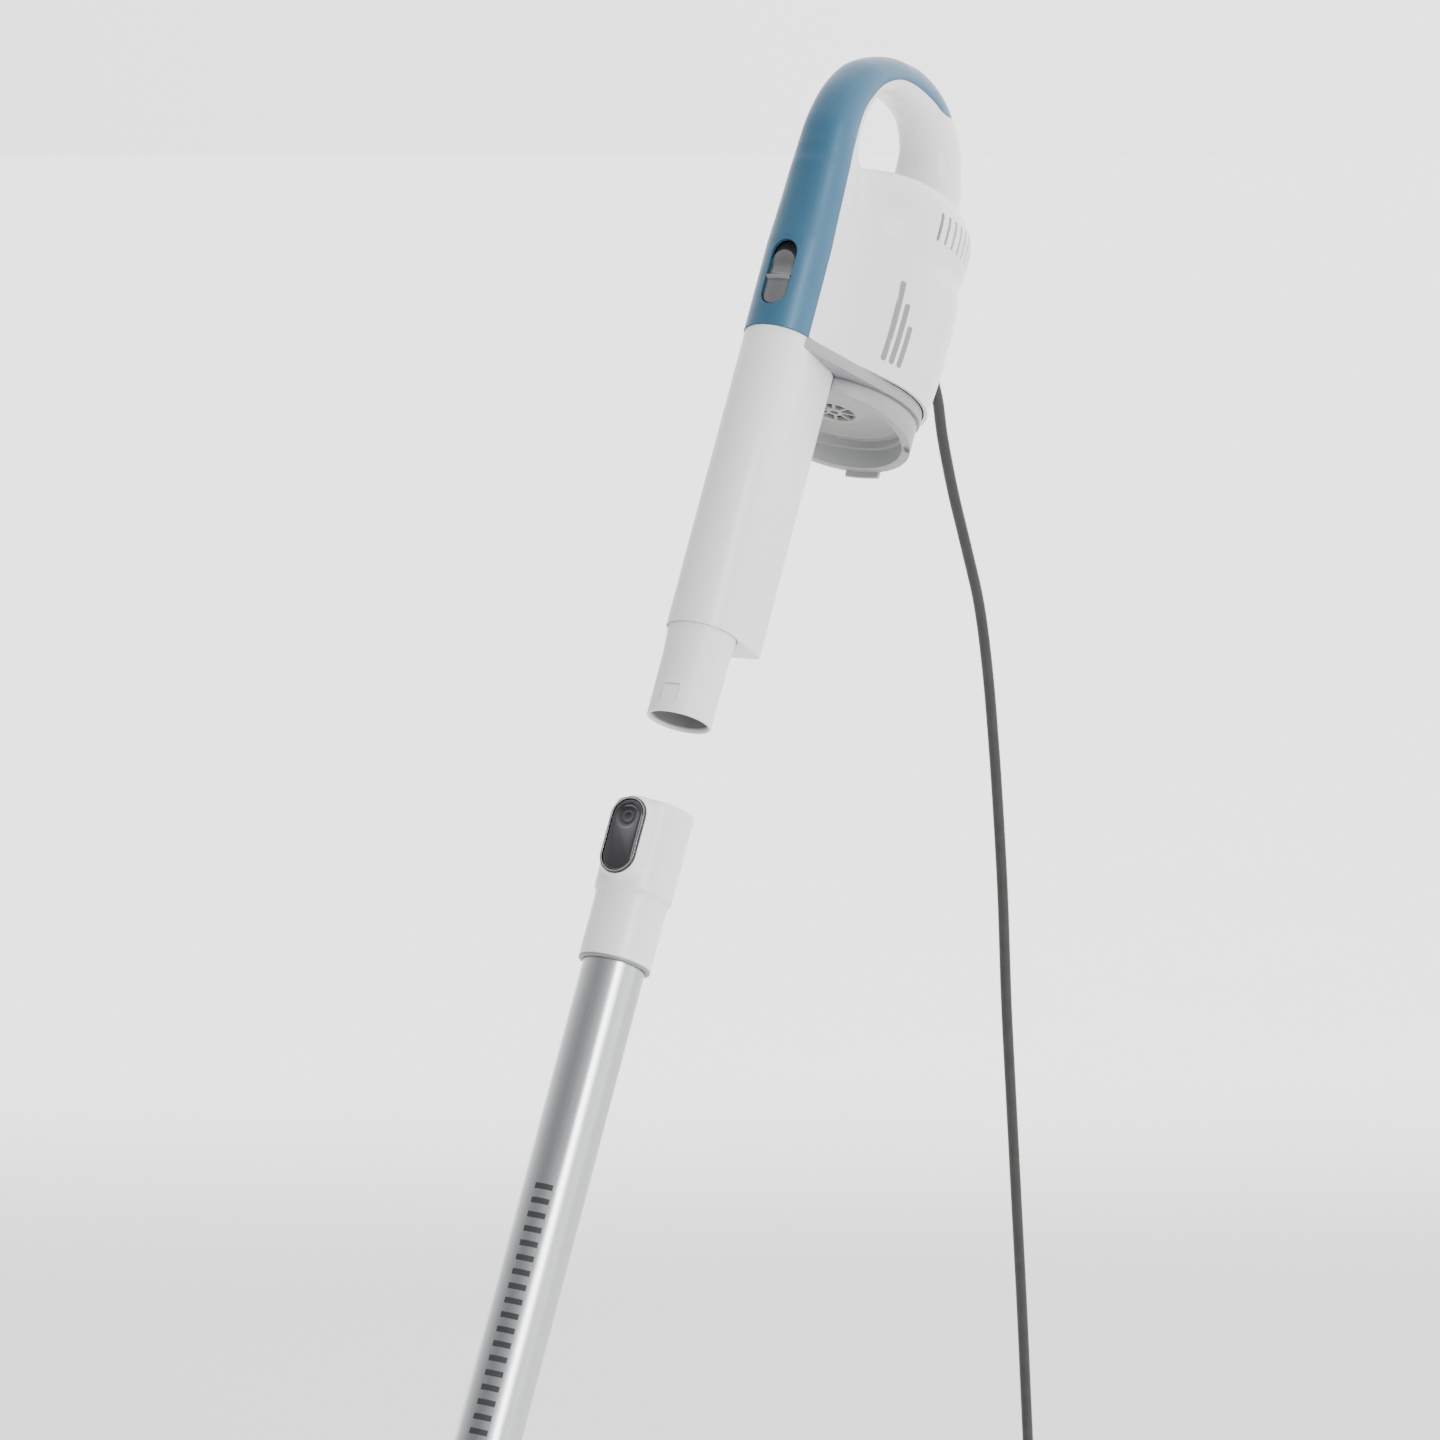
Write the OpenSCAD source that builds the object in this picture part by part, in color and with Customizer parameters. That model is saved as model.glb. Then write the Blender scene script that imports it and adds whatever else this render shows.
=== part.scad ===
// Corded two-in-one stick vacuum: hand unit with loop handle, pulled-off wand and swivelling floor head.
// Millimetres. Every piece but the floor head and the cord is drawn in the unit's own frame and then leaned:
// there z runs up along the wand, x points to the back, and the origin is the middle of the inlet's mouth.
// The finished model has +Z up and its origin in the middle of the grip.

/* [Layout] */
// Lean of the vacuum from upright
lean = 28.5; // [26:0.1:30]
// Gap between the mouth of the inlet pipe and the wand's collar
wand_gap = 52; // [50:0.5:54]
// Place of the middle of the grip along the unit's x
grip_x = 70; // [66:1:74]
// Place of the middle of the grip along the unit's z
grip_z = 420; // [418:1:422]
// Height of the floor below the grip
floor_drop = 982; // [981:0.5:984]

/* [Hand unit] */
// Radius of the spine's round front
spine_r = 20; // [19:0.1:21]
// Distance from the spine's centre to the motor's axis
motor_x = 77; // [76:0.5:78]
// Radius of the motor barrel where it meets the seat ring
barrel_r = 50; // [50:0.1:51]
// Thickness of the moulded shells
shell_wall = 2.2; // [2:0.1:2.4]
// Height of the joint between the shells and the seat ring
rim_z = 234; // [234:0.5:235]
// Radius of the socket that the dust cup's neck enters
cup_bore_r = 41; // [40.5:0.1:41.5]

/* [Inlet] */
// Outer radius of the inlet pipe at its mouth
pipe_r = 18.5; // [18.4:0.05:18.6]
// Outer radius of the inlet pipe where it meets the duct
pipe_root_r = 19.6; // [19.5:0.05:19.65]
// Length of the inlet pipe
pipe_len = 53; // [53:0.1:53.5]
// Length of the inlet pipe's straight part, which the wand's collar slides on
pipe_straight = 36; // [35:0.5:38]
// Half width of the duct
duct_r = 20.9; // [20.6:0.1:21.2]
// Depth of the duct's flat back behind the pipe's axis
duct_back = 35; // [34:0.5:35]

/* [Wand] */
// Radius of the aluminium tube
tube_r = 17.5; // [17.2:0.1:17.6]
// Wall of the aluminium tube
tube_wall = 1.1; // [1:0.05:1.2]
// Length of the wand from the collar's top to its foot
wand_len = 588; // [584:1:590]
// Radius of the collar's upper part
collar_r = 22; // [22:0.1:22.5]
// Radius of the collar's lower part
sleeve_r = 20.3; // [20:0.1:20.6]

/* [Floor head] */
// Width of the floor head
head_w = 230; // [210:5:250]
// Distance from the neck's pivot to the head's front
head_front = 70; // [66:1:74]
// Distance from the neck's pivot to the head's rear
head_rear = 38; // [37:1:42]
// Height of the floor head's cover
head_h = 34; // [33:0.5:36]
// Radius of the two rear wheels
wheel_r = 8; // [7.5:0.1:8.2]

/* [Cord] */
// Diameter of the mains cord
cord_d = 7; // [6.8:0.1:7.1]
// Mean radius of the stored coil
coil_r = 41.5; // [41:0.1:42]
// Turns side by side, and one on another, in the stored coil
coil_layers = 4; // [4:1:4]

/* [Hidden] */
$fn = 96;
SMOOTH = 40;          // facets of rounded shells
web_top = 350;        // top of the web between spine and barrel
FIT = 0.3;            // gap between bodies that slide
RUN = 0.05;           // running clearance of a shaft
EPS = 0.02;           // overlap of parts that join
SLICE = 0.6;          // thickness of the slices that a hull joins

// The wand and the neck
collar_top = -wand_gap;
collar_step = collar_top - 52;
collar_end = collar_top - 91;
tube_top = collar_top - 54;
wand_foot = collar_top - wand_len;
tube_in = tube_r - tube_wall;
foot_len = 44;
pivot_z = wand_foot - 63;

// The release button
button_w = 18;
button_len = 41;
button_mid = collar_top - 24;
button_face = -26.2;
rocker_x = -22.3;
rocker_z = collar_top - 26;
rocker_r = 1.5;
pawl_z = collar_top - 40.5;

// Floor and head, in the row's frame
floor_z = -floor_drop;
pivot_x = pivot_z * sin(lean) - grip_x * cos(lean) - grip_z * sin(lean);
pivot_h = pivot_z * cos(lean) + grip_x * sin(lean) - grip_z * cos(lean) - floor_z;
trunnion_r = 4;

// Cord: where it leaves the barrel, and its route in the row's frame
exit_z = 295;
exit_x = 118;
relief_end = 158;
cord_r = cord_d / 2;
route = [for (x = [exit_x, 130, 144, relief_end]) to_row([x, 0, exit_z]),
    [30, 0, -162], [39, 0, -178], [46, 0, -202], [60, 0, -236], [78, 0, -272], [95, 0, -308],
    [107, 0, -350], [116, 0, -396], [124, 0, -446], [131, 0, -500], [137, 0, -566],
    [145, 0, -630], [154, 0, -700], [163, 0, -770], [171, 0, -840], [177, 0, -890],
    [181, 0, -920], [183, 4, -945], [184, 14, -963], [184, 28, -973], [184, 45, -977]];
coil_centre = [125, 46];
coil_lift = 1.2;
coil_half = coil_layers * cord_d / 2;
tail_route = [[125, 98, -956.3], [113, 98, -957], [100, 98, -960.5], [87, 97.5, -966.5],
    [74, 97, -972], [61, 97, -975], [48, 97, -975]];
plug_x = 48;
plug_y = 97;
plug_z = floor_z + 7;
pin_r = 2.4;
pin_gap = 19;
pin_len = 19;

// The seat ring: its flange's lower face, its skirt, and the slope of the skirt's lower edge
ring_z = 227;
skirt_r = 48.5;
skirt_slope = 7.5;

// The motor's pieces along its axis
guard_z = 223;
guard_h = 2;
guard_r = cup_bore_r - 1;
fan_floor = 238;
can_floor = 262;
can_top = 326;
shaft_r = 3;
bearing_r = 9;
bearing_h = 6;
can_r = 31;

// Outline of the barrel: radius and height
barrel_profile = [[50, rim_z], [50.2, 238], [51.6, 243], [53.8, 258], [55, 278], [54.9, 292], [54.4, 304],
    [52.6, 312], [52.4, 316], [53.5, 322], [54.2, 329], [54, 338], [52.5, 346], [50, 352], [46, 357.5],
    [39, 361.5], [28, 363.5]];

// Stations of the loop handle: outer x and z, inner x and z, half width
handle_stations = [[-20, 318, 20, 318, 20], [-20, 338, 17, 342, 19], [-19.6, 352, 10.5, 354, 17.6],
    [-18.3, 370, 8, 365, 16.6], [-12, 390, 11, 382, 16], [0, 409, 19, 396, 15.6],
    [14, 421, 27, 402, 15.5], [31, 430, 38, 408, 15.5], [48, 435, 50, 411, 15.5],
    [64, 438, 62, 412, 15.5], [85, 437, 79, 410, 16], [102, 431, 91, 403, 17],
    [116, 420, 98, 394, 18.5], [124, 405, 100, 384, 20.5], [127.5, 388, 100, 373, 23],
    [129, 366, 98, 360, 25.5], [128.5, 344, 94, 344, 28]];

// The seam between the spine cover and the shells, from the rim up and round the loop
seam = [[-5, rim_z], [-5, 340], [-2, 359], [1.5, 379], [9, 393], [17, 404], [25, 411], [33, 414],
    [52, 418], [70, 418], [86, 416], [106, 431]];

boss_places = [[19, 243], [19, 322], [112, 398], [112, 372]];
vent_count = 7;
vent_start = 111.5;
vent_step = 6.6;
vent_w = 2.2;
vent_len = 18;
vent_z = 334.5;

// A point of the unit's frame, in the row's frame
function to_row(p) = [(p.x - grip_x) * cos(lean) + (p.z - grip_z) * sin(lean), p.y,
    -(p.x - grip_x) * sin(lean) + (p.z - grip_z) * cos(lean)];

// One point of a Catmull-Rom curve between b and c
function between(a, b, c, d, t) = 0.5 * ((2 * b) + (c - a) * t + (2 * a - 5 * b + 4 * c - d) * t * t
    + (3 * b - a - 3 * c + d) * t * t * t);
function at(list, i) = list[max(0, min(len(list) - 1, i))];
function smooth(list, n) = [for (i = [0 : len(list) - 2]) for (k = [0 : n - 1])
    between(at(list, i - 1), list[i], list[i + 1], at(list, i + 2), k / n), list[len(list) - 1]];

function unit(v) = v / norm(v);
function away(list, i) = unit(at(list, i + 1) - at(list, i - 1));

// Places what is drawn in the unit's frame
module leaned() {
    rotate([0, lean, 0]) translate([-grip_x, 0, -grip_z]) children();
}

// A closed skin over rings of points
module skin(rings) {
    n = len(rings[0]);
    last = len(rings) - 1;
    polyhedron(points = [for (r = rings) each r], faces = concat(
        [[for (k = [0 : n - 1]) k]],
        [for (i = [0 : last - 1], k = [0 : n - 1])
            [i * n + k, (i + 1) * n + k, (i + 1) * n + (k + 1) % n, i * n + (k + 1) % n]],
        [[for (k = [n - 1 : -1 : 0]) last * n + k]]), convexity = 6);
}

// A round tube's solid along points, with the given side count
module swept(points, r, sides) {
    side = [0, 1, 0];
    skin([for (i = [0 : len(points) - 1]) let (t = away(points, i),
        u = unit(side - (side * t) * t), v = cross(t, u))
        [for (k = [0 : sides - 1]) points[i] + r * (cos(360 * k / sides) * u + sin(360 * k / sides) * v)]]);
}

// As swept(), for a level run whose sideways direction is taken from upright
module swept_level(points, r, sides) {
    skin([for (i = [0 : len(points) - 1]) let (t = away(points, i),
        u = unit(cross([0, 0, 1], t)), v = cross(t, u))
        [for (k = [0 : sides - 1]) points[i] + r * (cos(360 * k / sides) * u + sin(360 * k / sides) * v)]]);
}

// Two circles of different sizes and the tangents between them
module teardrop(r, big_r) {
    turn = asin((big_r - r) / motor_x);
    circle(r);
    translate([motor_x, 0]) circle(big_r);
    polygon([r * [-sin(turn), cos(turn)], [motor_x, 0] + big_r * [-sin(turn), cos(turn)],
        [motor_x, 0] + big_r * [-sin(turn), -cos(turn)], r * [-sin(turn), -cos(turn)]]);
}

// A slot's outline with round ends, long side along y of the sheet
module stadium(w, l) {
    square([w, l - w], center = true);
    for (s = [-1, 1]) translate([0, s * (l - w) / 2]) circle(d = w);
}

module ring(outer, inner, h) {
    difference() {
        cylinder(r = outer, h = h);
        translate([0, 0, -1]) cylinder(r = inner, h = h + 2);
    }
}

module on_motor(z) {
    translate([motor_x, 0, z]) children();
}

// Lays a sheet drawn in x and z across the unit's width
module across(width) {
    rotate([90, 0, 0]) linear_extrude(width, center = true) children();
}

module along_x(x0, z0) {
    translate([x0, 0, z0]) rotate([0, 90, 0]) children();
}

// ---- hand unit: shells ----

// Outer form of spine, barrel and loop; inset shrinks it evenly for the hollow
module body_form(inset) {
    foot = rim_z - (inset > 0 ? 1 : 0);
    barrel = [for (k = [0 : len(barrel_profile) - 1])
        k == 0 ? [barrel_profile[0].x, foot] : barrel_profile[k]];
    hull() {
        translate([0, 0, foot]) cylinder(r = spine_r - inset, h = web_top - foot - inset, $fn = SMOOTH);
        on_motor(foot) cylinder(r = barrel_r - 6 - inset, h = web_top - foot - inset, $fn = SMOOTH);
    }
    for (k = [0 : len(barrel) - 2]) hull() {
        disc(barrel[k], inset);
        disc(barrel[k + 1], inset);
    }
    handle_form(inset);
}

// One thin slice of the barrel; the slices of its top move down with the inset
module disc(p, inset) {
    on_motor(p.y > web_top ? p.y - inset : p.y) cylinder(r = p.x - inset, h = SLICE, $fn = SMOOTH);
}

module handle_form(inset) {
    stations = smooth(handle_stations, 2);
    for (k = [0 : len(stations) - 2]) hull() {
        slice(stations[k], inset);
        slice(stations[k + 1], inset);
    }
}

// One thin slice of the loop handle
module slice(s, inset) {
    outer = [s[0], s[1]];
    inner = [s[2], s[3]];
    across_loop = outer - inner;
    translate([(outer.x + inner.x) / 2, 0, (outer.y + inner.y) / 2])
        rotate([0, -atan2(across_loop.y, across_loop.x), 0])
        scale([norm(across_loop) / 2 - inset, s[4] - inset, 1])
        cylinder(r = 1, h = SLICE, $fn = 24, center = true);
}

module front_region(width) {
    across(width) polygon(concat([[-40, rim_z - 5]], [[-5, rim_z - 5]], seam, [[112, 446], [-40, 446]]));
}

module vent_slots() {
    for (side = [-1, 1], k = [0 : vent_count - 1]) on_motor(vent_z)
        rotate(side * (vent_start - k * vent_step)) translate([49, -vent_w / 2, -vent_len / 2])
            cube([9, vent_w, vent_len]);
}

module half_space(side) {
    translate([-60, side > 0 ? 0 : -80, 200]) cube([260, 80, 260]);
}

module bosses() {
    for (p = boss_places) translate([p.x, 0, p.y]) rotate([90, 0, 0])
        cylinder(r = 3.6, h = 60, center = true, $fn = 24);
}

module body_shell(side) {
    color("whitesmoke") leaned() difference() {
        intersection() {
            union() {
                difference() {
                    body_form(0);
                    body_form(shell_wall);
                }
                intersection() {
                    bosses();
                    body_form(shell_wall / 2);
                }
            }
            half_space(side);
        }
        front_region(120);
        vent_slots();
        along_x(100, exit_z) cylinder(r = 7, h = 40, $fn = 36);
        for (p = boss_places) translate([p.x, side > 0 ? -1 : 1, p.y]) rotate([side > 0 ? -90 : 90, 0, 0])
            cylinder(r = side > 0 ? 1.8 : 1.3, h = side > 0 ? 60 : 11, $fn = 16);
        if (side > 0) for (p = boss_places) translate([p.x, 8, p.y]) rotate([-90, 0, 0])
            cylinder(r = 3.1, h = 60, $fn = 20);
    }
}

module body_shell_left() { body_shell(-1); }
module body_shell_right() { body_shell(1); }

module spine_cover() {
    color("steelblue") leaned() difference() {
        intersection() {
            difference() {
                body_form(0);
                body_form(shell_wall);
            }
            front_region(120);
        }
        translate([-30, 0, 267]) rotate([90, 0, 90]) linear_extrude(30) stadium(16, 40);
    }
}

// ---- hand unit: inlet and seat ----

module duct_outline(inset) {
    circle(duct_r - inset);
    difference() {
        translate([0, -(duct_r - inset)]) square([duct_back - inset, 2 * (duct_r - inset)]);
        for (s = [-1, 1]) translate([duct_back - inset, s * (duct_r - inset)]) rotate(45)
            square(8, center = true);
    }
}

module duct() {
    color("whitesmoke") leaned() difference() {
        translate([0, 0, pipe_len]) linear_extrude(ring_z - pipe_len) duct_outline(0);
        translate([0, 0, pipe_len + 2]) linear_extrude(ring_z - pipe_len) duct_outline(2);
        translate([0, 0, pipe_len - 1]) cylinder(r = pipe_r - 2, h = 4);
        translate([duct_back - 4, -11, 176]) cube([8, 22, 30]);
    }
}

module inlet_pipe() {
    color("whitesmoke") leaned() difference() {
        union() {
            cylinder(r = pipe_r, h = pipe_straight);
            translate([0, 0, pipe_straight - EPS])
                cylinder(r1 = pipe_r, r2 = pipe_root_r, h = pipe_len - pipe_straight + EPS);
        }
        translate([0, 0, -1]) cylinder(r = pipe_r - 2, h = pipe_len + 2);
        translate([-30, -5, 6]) cube([20, 10, 10.5]);
    }
}

// What the slanted lower edge of the ring's skirt leaves out
module skirt_slant() {
    translate([duct_back + 2.4, -60, 218]) rotate([0, skirt_slope, 0]) translate([-30, 0, -40])
        cube([160, 120, 40]);
}

module seat_ring() {
    color("silver") leaned() difference() {
        union() {
            translate([0, 0, ring_z]) linear_extrude(rim_z - ring_z) teardrop(duct_r, barrel_r);
            on_motor(204) cylinder(r = skirt_r, h = ring_z - 204 + EPS);
        }
        on_motor(200) cylinder(r = cup_bore_r + 2, h = 18.5);
        on_motor(218.4) cylinder(r = cup_bore_r, h = guard_z - 218.4);
        on_motor(guard_z - EPS) cylinder(r = guard_r + FIT / 3, h = guard_h + EPS);
        on_motor(guard_z + 1) cylinder(r = 38, h = 20);
        skirt_slant();
        translate([-30, -60, 200]) cube([30 + duct_back + 0.4, 120, ring_z - 200]);
        translate([6, -6, 220]) cube([6, 12, 20]);
    }
}

module motor_guard() {
    color("silver") leaned() on_motor(guard_z) difference() {
        cylinder(r = guard_r, h = guard_h);
        translate([0, 0, -2]) cylinder(r = 2.5, h = 6);
        for (k = [0 : 7]) rotate(45 * k) translate([0, 0, -2]) linear_extrude(6)
            polygon([[4.6, -0.9], [12, -3.4], [12, 3.4], [4.6, 0.9]]);
    }
}

module cup_catch() {
    color("gainsboro") leaned() on_motor(203.5) intersection() {
        ring(skirt_r + 2.1, skirt_r, 22);
        linear_extrude(22) polygon([[0, 0], [60, -13.6], [60, 13.6]]);
    }
}

module guard_seal() {
    color("dimgray") leaned() on_motor(rim_z) ring(41, 37, 4);
}

module exhaust_filter() {
    color("whitesmoke") leaned() on_motor(328) difference() {
        ring(48, 42, 15);
        translate([-60, -60, -1]) cube([48, 120, 20]);
        translate([30, -9, -1]) cube([30, 18, 20]);
    }
}

// ---- hand unit: motor ----

module fan_shroud() {
    color("gray") leaned() on_motor(fan_floor) difference() {
        cylinder(r = 44, h = can_floor - fan_floor);
        translate([0, 0, 1.6]) cylinder(r = 42.4, h = 40);
        translate([0, 0, -1]) cylinder(r = 13, h = 4);
    }
}

module motor_can() {
    color("silver") leaned() on_motor(can_floor) difference() {
        union() {
            cylinder(r = 44, h = 2);
            cylinder(r = can_r, h = can_top - can_floor);
        }
        translate([0, 0, 2]) cylinder(r = can_r - 1.5, h = can_top - can_floor - 4);
        translate([0, 0, -1]) cylinder(r = 5, h = 80);
        for (k = [0 : 5]) rotate(60 * k + 30) translate([can_r - 6, -5, 12]) cube([12, 10, 36]);
        for (k = [0 : 7]) rotate(45 * k) translate([34, -5, -1]) cube([6, 10, 4]);
    }
}

module stator_core() {
    color("darkgray") leaned() on_motor(276) ring(can_r - 1.5, 21, 30);
}

module field_coils() {
    color("chocolate") leaned() for (z = [270.2, 306]) on_motor(z) ring(28, 21.5, z < 300 ? 5.8 : 4);
}

module bearing() {
    ring(bearing_r, shaft_r + RUN, bearing_h);
}

module front_bearing() {
    color("silver") leaned() on_motor(can_floor + 2) bearing();
}

module rear_bearing() {
    color("silver") leaned() on_motor(can_top - 2 - bearing_h) bearing();
}

module front_mount() {
    color("dimgray") leaned() on_motor(244) ring(49.2, 44, 10);
}

module rear_mount() {
    color("dimgray") leaned() on_motor(312) difference() {
        ring(49.6, can_r, 6);
        translate([20, -8, -1]) cube([40, 16, 8]);
        for (k = [1 : 5]) rotate(60 * k) translate([can_r + 4, -7, -1]) cube([8, 14, 8]);
    }
}

module carbon_brushes() {
    color("black") leaned() for (s = [-1, 1]) translate([motor_x, s * 14.4, 313.5]) {
        cube([7, 9, 4.6], center = true);
        translate([0, s * 9, 0]) cube([9, 9, 6], center = true);
    }
}

module rotor_shaft() {
    color("silver") leaned() on_motor(fan_floor + 2.4) cylinder(r = shaft_r, h = 87);
}

module rotor_core() {
    color("darkgray") leaned() on_motor(277) difference() {
        cylinder(r = 20.4, h = 28);
        translate([0, 0, -1]) cylinder(r = shaft_r, h = 40);
        for (k = [0 : 11]) rotate(30 * k) translate([12, -1.2, -1]) cube([9, 2.4, 40]);
    }
}

module commutator() {
    color("peru") leaned() on_motor(308) ring(9.5, shaft_r, 9);
}

module impeller() {
    color("lightgray") leaned() on_motor(242) difference() {
        union() {
            cylinder(r = 40, h = 1.4);
            cylinder(r = 7, h = 15);
            translate([0, 0, 13.6]) cylinder(r = 40, h = 1.4);
            for (k = [0 : 8]) rotate(40 * k) translate([12, 0, 0]) rotate(32) cube([27, 1.2, 14.4]);
        }
        translate([0, 0, -1]) cylinder(r = shaft_r, h = 20);
        translate([0, 0, -1]) ring(13.5, 7, 3);
    }
}

// ---- hand unit: switch, wiring and fasteners ----

module switch_slider() {
    color("silver") leaned() {
        intersection() {
            translate([0, 0, 243]) ring(spine_r - shell_wall - FIT, 15.2, 42);
            translate([-30, -9.6, 243]) cube([24, 19.2, 42]);
        }
        intersection() {
            translate([0, 0, 240]) ring(spine_r + 0.5, 16, 60);
            translate([-30, 0, 264.3]) rotate([90, 0, 90]) linear_extrude(20) stadium(15.2, 33.4);
        }
        intersection() {
            translate([0, 0, 263.4]) ring(spine_r + 1.8, 16, 3.2);
            translate([-30, -6, 260]) cube([24, 12, 10]);
        }
    }
}

module switch_housing() {
    color("black") leaned() translate([-12.8, -7.2, 250]) cube([12.3, 14.4, 28]);
}

module circuit_board() {
    color("seagreen") leaned() {
        translate([1, -13, 246]) cube([1.6, 26, 58]);
        translate([2.6, -6, 284]) cube([7, 12, 14]);
    }
}

module internal_wires() {
    color("firebrick") leaned() for (s = [-1, 1]) swept(smooth([[117, s * 3, 298], [117, s * 3, 304],
        [116, s * 3, 314], [113, s * 3, 323], [106, s * 3, 330], [92, s * 3, 332.5], [60, s * 3, 333],
        [30, s * 3, 332], [13, s * 3, 324], [9, s * 3, 310], [6, s * 3, 298.4]], 2), 1.1, 8);
}

module cord_clamp() {
    color("dimgray") leaned() for (s = [-1, 1]) difference() {
        translate([118.5, -9, exit_z - (s > 0 ? 0 : 7)]) cube([5.5, 18, 7]);
        along_x(110, exit_z) cylinder(r = cord_r + EPS, h = 20);
        for (y = [-6.5, 6.5]) translate([121.2, y, exit_z - 10]) cylinder(r = 1.2, h = 30);
    }
}

module clamp_screws() {
    color("silver") leaned() for (y = [-6.5, 6.5]) translate([121.2, y, exit_z - 7]) {
        cylinder(r = 1.2, h = 14);
        translate([0, 0, -1.6]) cylinder(r = 2.4, h = 1.6);
    }
}

module strain_relief() {
    color("dimgray") leaned() along_x(0, exit_z) difference() {
        union() {
            translate([0, 0, 126]) cylinder(r = 6.9, h = 8);
            translate([0, 0, 132.5]) cylinder(r1 = 7.8, r2 = 5, h = relief_end - 132.5);
            translate([0, 0, 125.6]) cylinder(r = 9, h = 3.4);
        }
        translate([0, 0, 100]) cylinder(r = cord_r + 0.05, h = 80);
        for (k = [0 : 3]) translate([0, 0, 136 + 5 * k]) ring(10, 6.3 - 0.5 * k, 1.8);
    }
}

module shell_screws() {
    color("silver") leaned() for (p = boss_places) translate([p.x, 0, p.y]) rotate([-90, 0, 0]) {
        translate([0, 0, -9]) cylinder(r = 1.24, h = 17);
        translate([0, 0, 8]) cylinder(r = 2.8, h = 2);
    }
}

// ---- cord, coil and plug, in the row's frame ----

module power_cord() {
    color("dimgray") swept(smooth(route, 3), cord_r, 10);
}

module cord_coil() {
    color("dimgray") translate([coil_centre.x, coil_centre.y, floor_z + coil_lift]) rotate_extrude()
        translate([coil_r - coil_half, 0]) square(2 * coil_half);
}

module cord_tie() {
    color("black") translate([coil_centre.x, coil_centre.y, floor_z]) rotate(215) difference() {
        translate([coil_r - coil_half - 1.4, -7, 0])
            cube([2 * coil_half + 2.8, 14, 2 * (coil_half + coil_lift)]);
        translate([0, 0, coil_lift]) ring(coil_r + coil_half, coil_r - coil_half, 2 * coil_half);
    }
}

module cord_tail() {
    color("dimgray") swept_level(smooth(tail_route, 2), cord_r, 10);
}

module plug_body() {
    color("dimgray") translate([0, plug_y, plug_z]) {
        translate([plug_x - 15, 0, 0]) rotate([0, 90, 0]) cylinder(r1 = 6.2, r2 = 4.6, h = 15);
        hull() for (s = [-1, 1]) translate([plug_x - 22, s * 11.5, 0]) rotate([0, -90, 0])
            cylinder(r1 = 6.5, r2 = 7, h = 26, $fn = SMOOTH);
        hull() {
            for (s = [-1, 1]) translate([plug_x - 22, s * 11.5, 0]) rotate([0, -90, 0])
                cylinder(r = 6.5, h = 1, $fn = SMOOTH);
            translate([plug_x - 15, 0, 0]) rotate([0, -90, 0]) cylinder(r = 6.2, h = 1, $fn = SMOOTH);
        }
    }
}

module plug_pins() {
    color("silver") for (s = [-1, 1]) translate([plug_x - 48, plug_y + s * pin_gap / 2, plug_z])
        rotate([0, -90, 0]) cylinder(r = pin_r, h = pin_len);
}

// ---- wand ----

module wand_tube() {
    color("silver") leaned() translate([0, 0, wand_foot + 6]) ring(tube_r, tube_in, tube_top - wand_foot - 6);
}

module button_block(w, l, x0, x1) {
    translate([x0, 0, button_mid]) rotate([90, 0, 90]) linear_extrude(x1 - x0) stadium(w, l);
}

module wand_collar() {
    color("whitesmoke") leaned() difference() {
        union() {
            rotate_extrude() polygon([[0, collar_top], [21, collar_top], [collar_r, collar_top - 1.2],
                [collar_r, collar_step + 1], [collar_r - 0.8, collar_step], [sleeve_r, collar_step],
                [sleeve_r, collar_end + 1], [sleeve_r - 1, collar_end], [0, collar_end]]);
            button_block(24, 47, -25.6, -15);
        }
        translate([0, 0, tube_top]) cylinder(r = pipe_r + 0.4, h = 80);
        translate([0, 0, collar_top - 23]) cylinder(r1 = pipe_r + 0.4, r2 = 20, h = 23 + EPS);
        translate([0, 0, collar_end - 1]) cylinder(r = tube_r, h = 60);
        button_block(button_w + 4, button_len + 3.4, -30, -24);
        button_block(button_w + 0.8, button_len + 0.8, -30, -20.6);
        translate([-24, -5.4, pawl_z - 6]) cube([10, 10.8, 12]);
        translate([rocker_x, 0, rocker_z]) rotate([90, 0, 0]) cylinder(r = rocker_r, h = 23, center = true);
        translate([rocker_x, 0, rocker_z]) rotate([90, 0, 0]) cylinder(r = 3, h = 15, center = true);
    }
}

module button_bezel() {
    color("silver") leaned() difference() {
        button_block(button_w + 4, button_len + 3.4, -26.6, -24);
        button_block(button_w + 0.8, button_len + 0.8, -30, -20);
    }
}

module button_pin() {
    color("silver") leaned() translate([rocker_x, 0, rocker_z]) rotate([90, 0, 0])
        cylinder(r = rocker_r, h = 23, center = true);
}

module button_spring() {
    color("silver") leaned() translate([rocker_x, 0, rocker_z]) rotate([90, 0, 0])
        for (k = [-2 : 1]) translate([0, 0, 1.3 * k + 0.15]) ring(2.3, rocker_r, 1);
}

module release_button() {
    color("dimgray") leaned() difference() {
        union() {
            button_block(button_w, button_len, button_face, -23.6);
            for (s = [-1, 1]) translate([rocker_x, s * 5, rocker_z]) rotate([90, 0, 0])
                cylinder(r = 2.5, h = 3.4, center = true);
            translate([-23.8, -4.2, pawl_z - 2.9]) cube([4.8, 8.4, 7.4]);
        }
        for (s = [-1, 1]) translate([rocker_x, s * 5, rocker_z]) rotate([90, 0, 0])
            cylinder(r = rocker_r + RUN, h = 8, center = true);
        translate([button_face - 28.9, 0, button_mid + 10]) sphere(r = 30);
        translate([rocker_x, 0, rocker_z]) rotate([90, 0, 0]) cylinder(r = 2.7, h = 6.4, center = true);
    }
}

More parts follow.
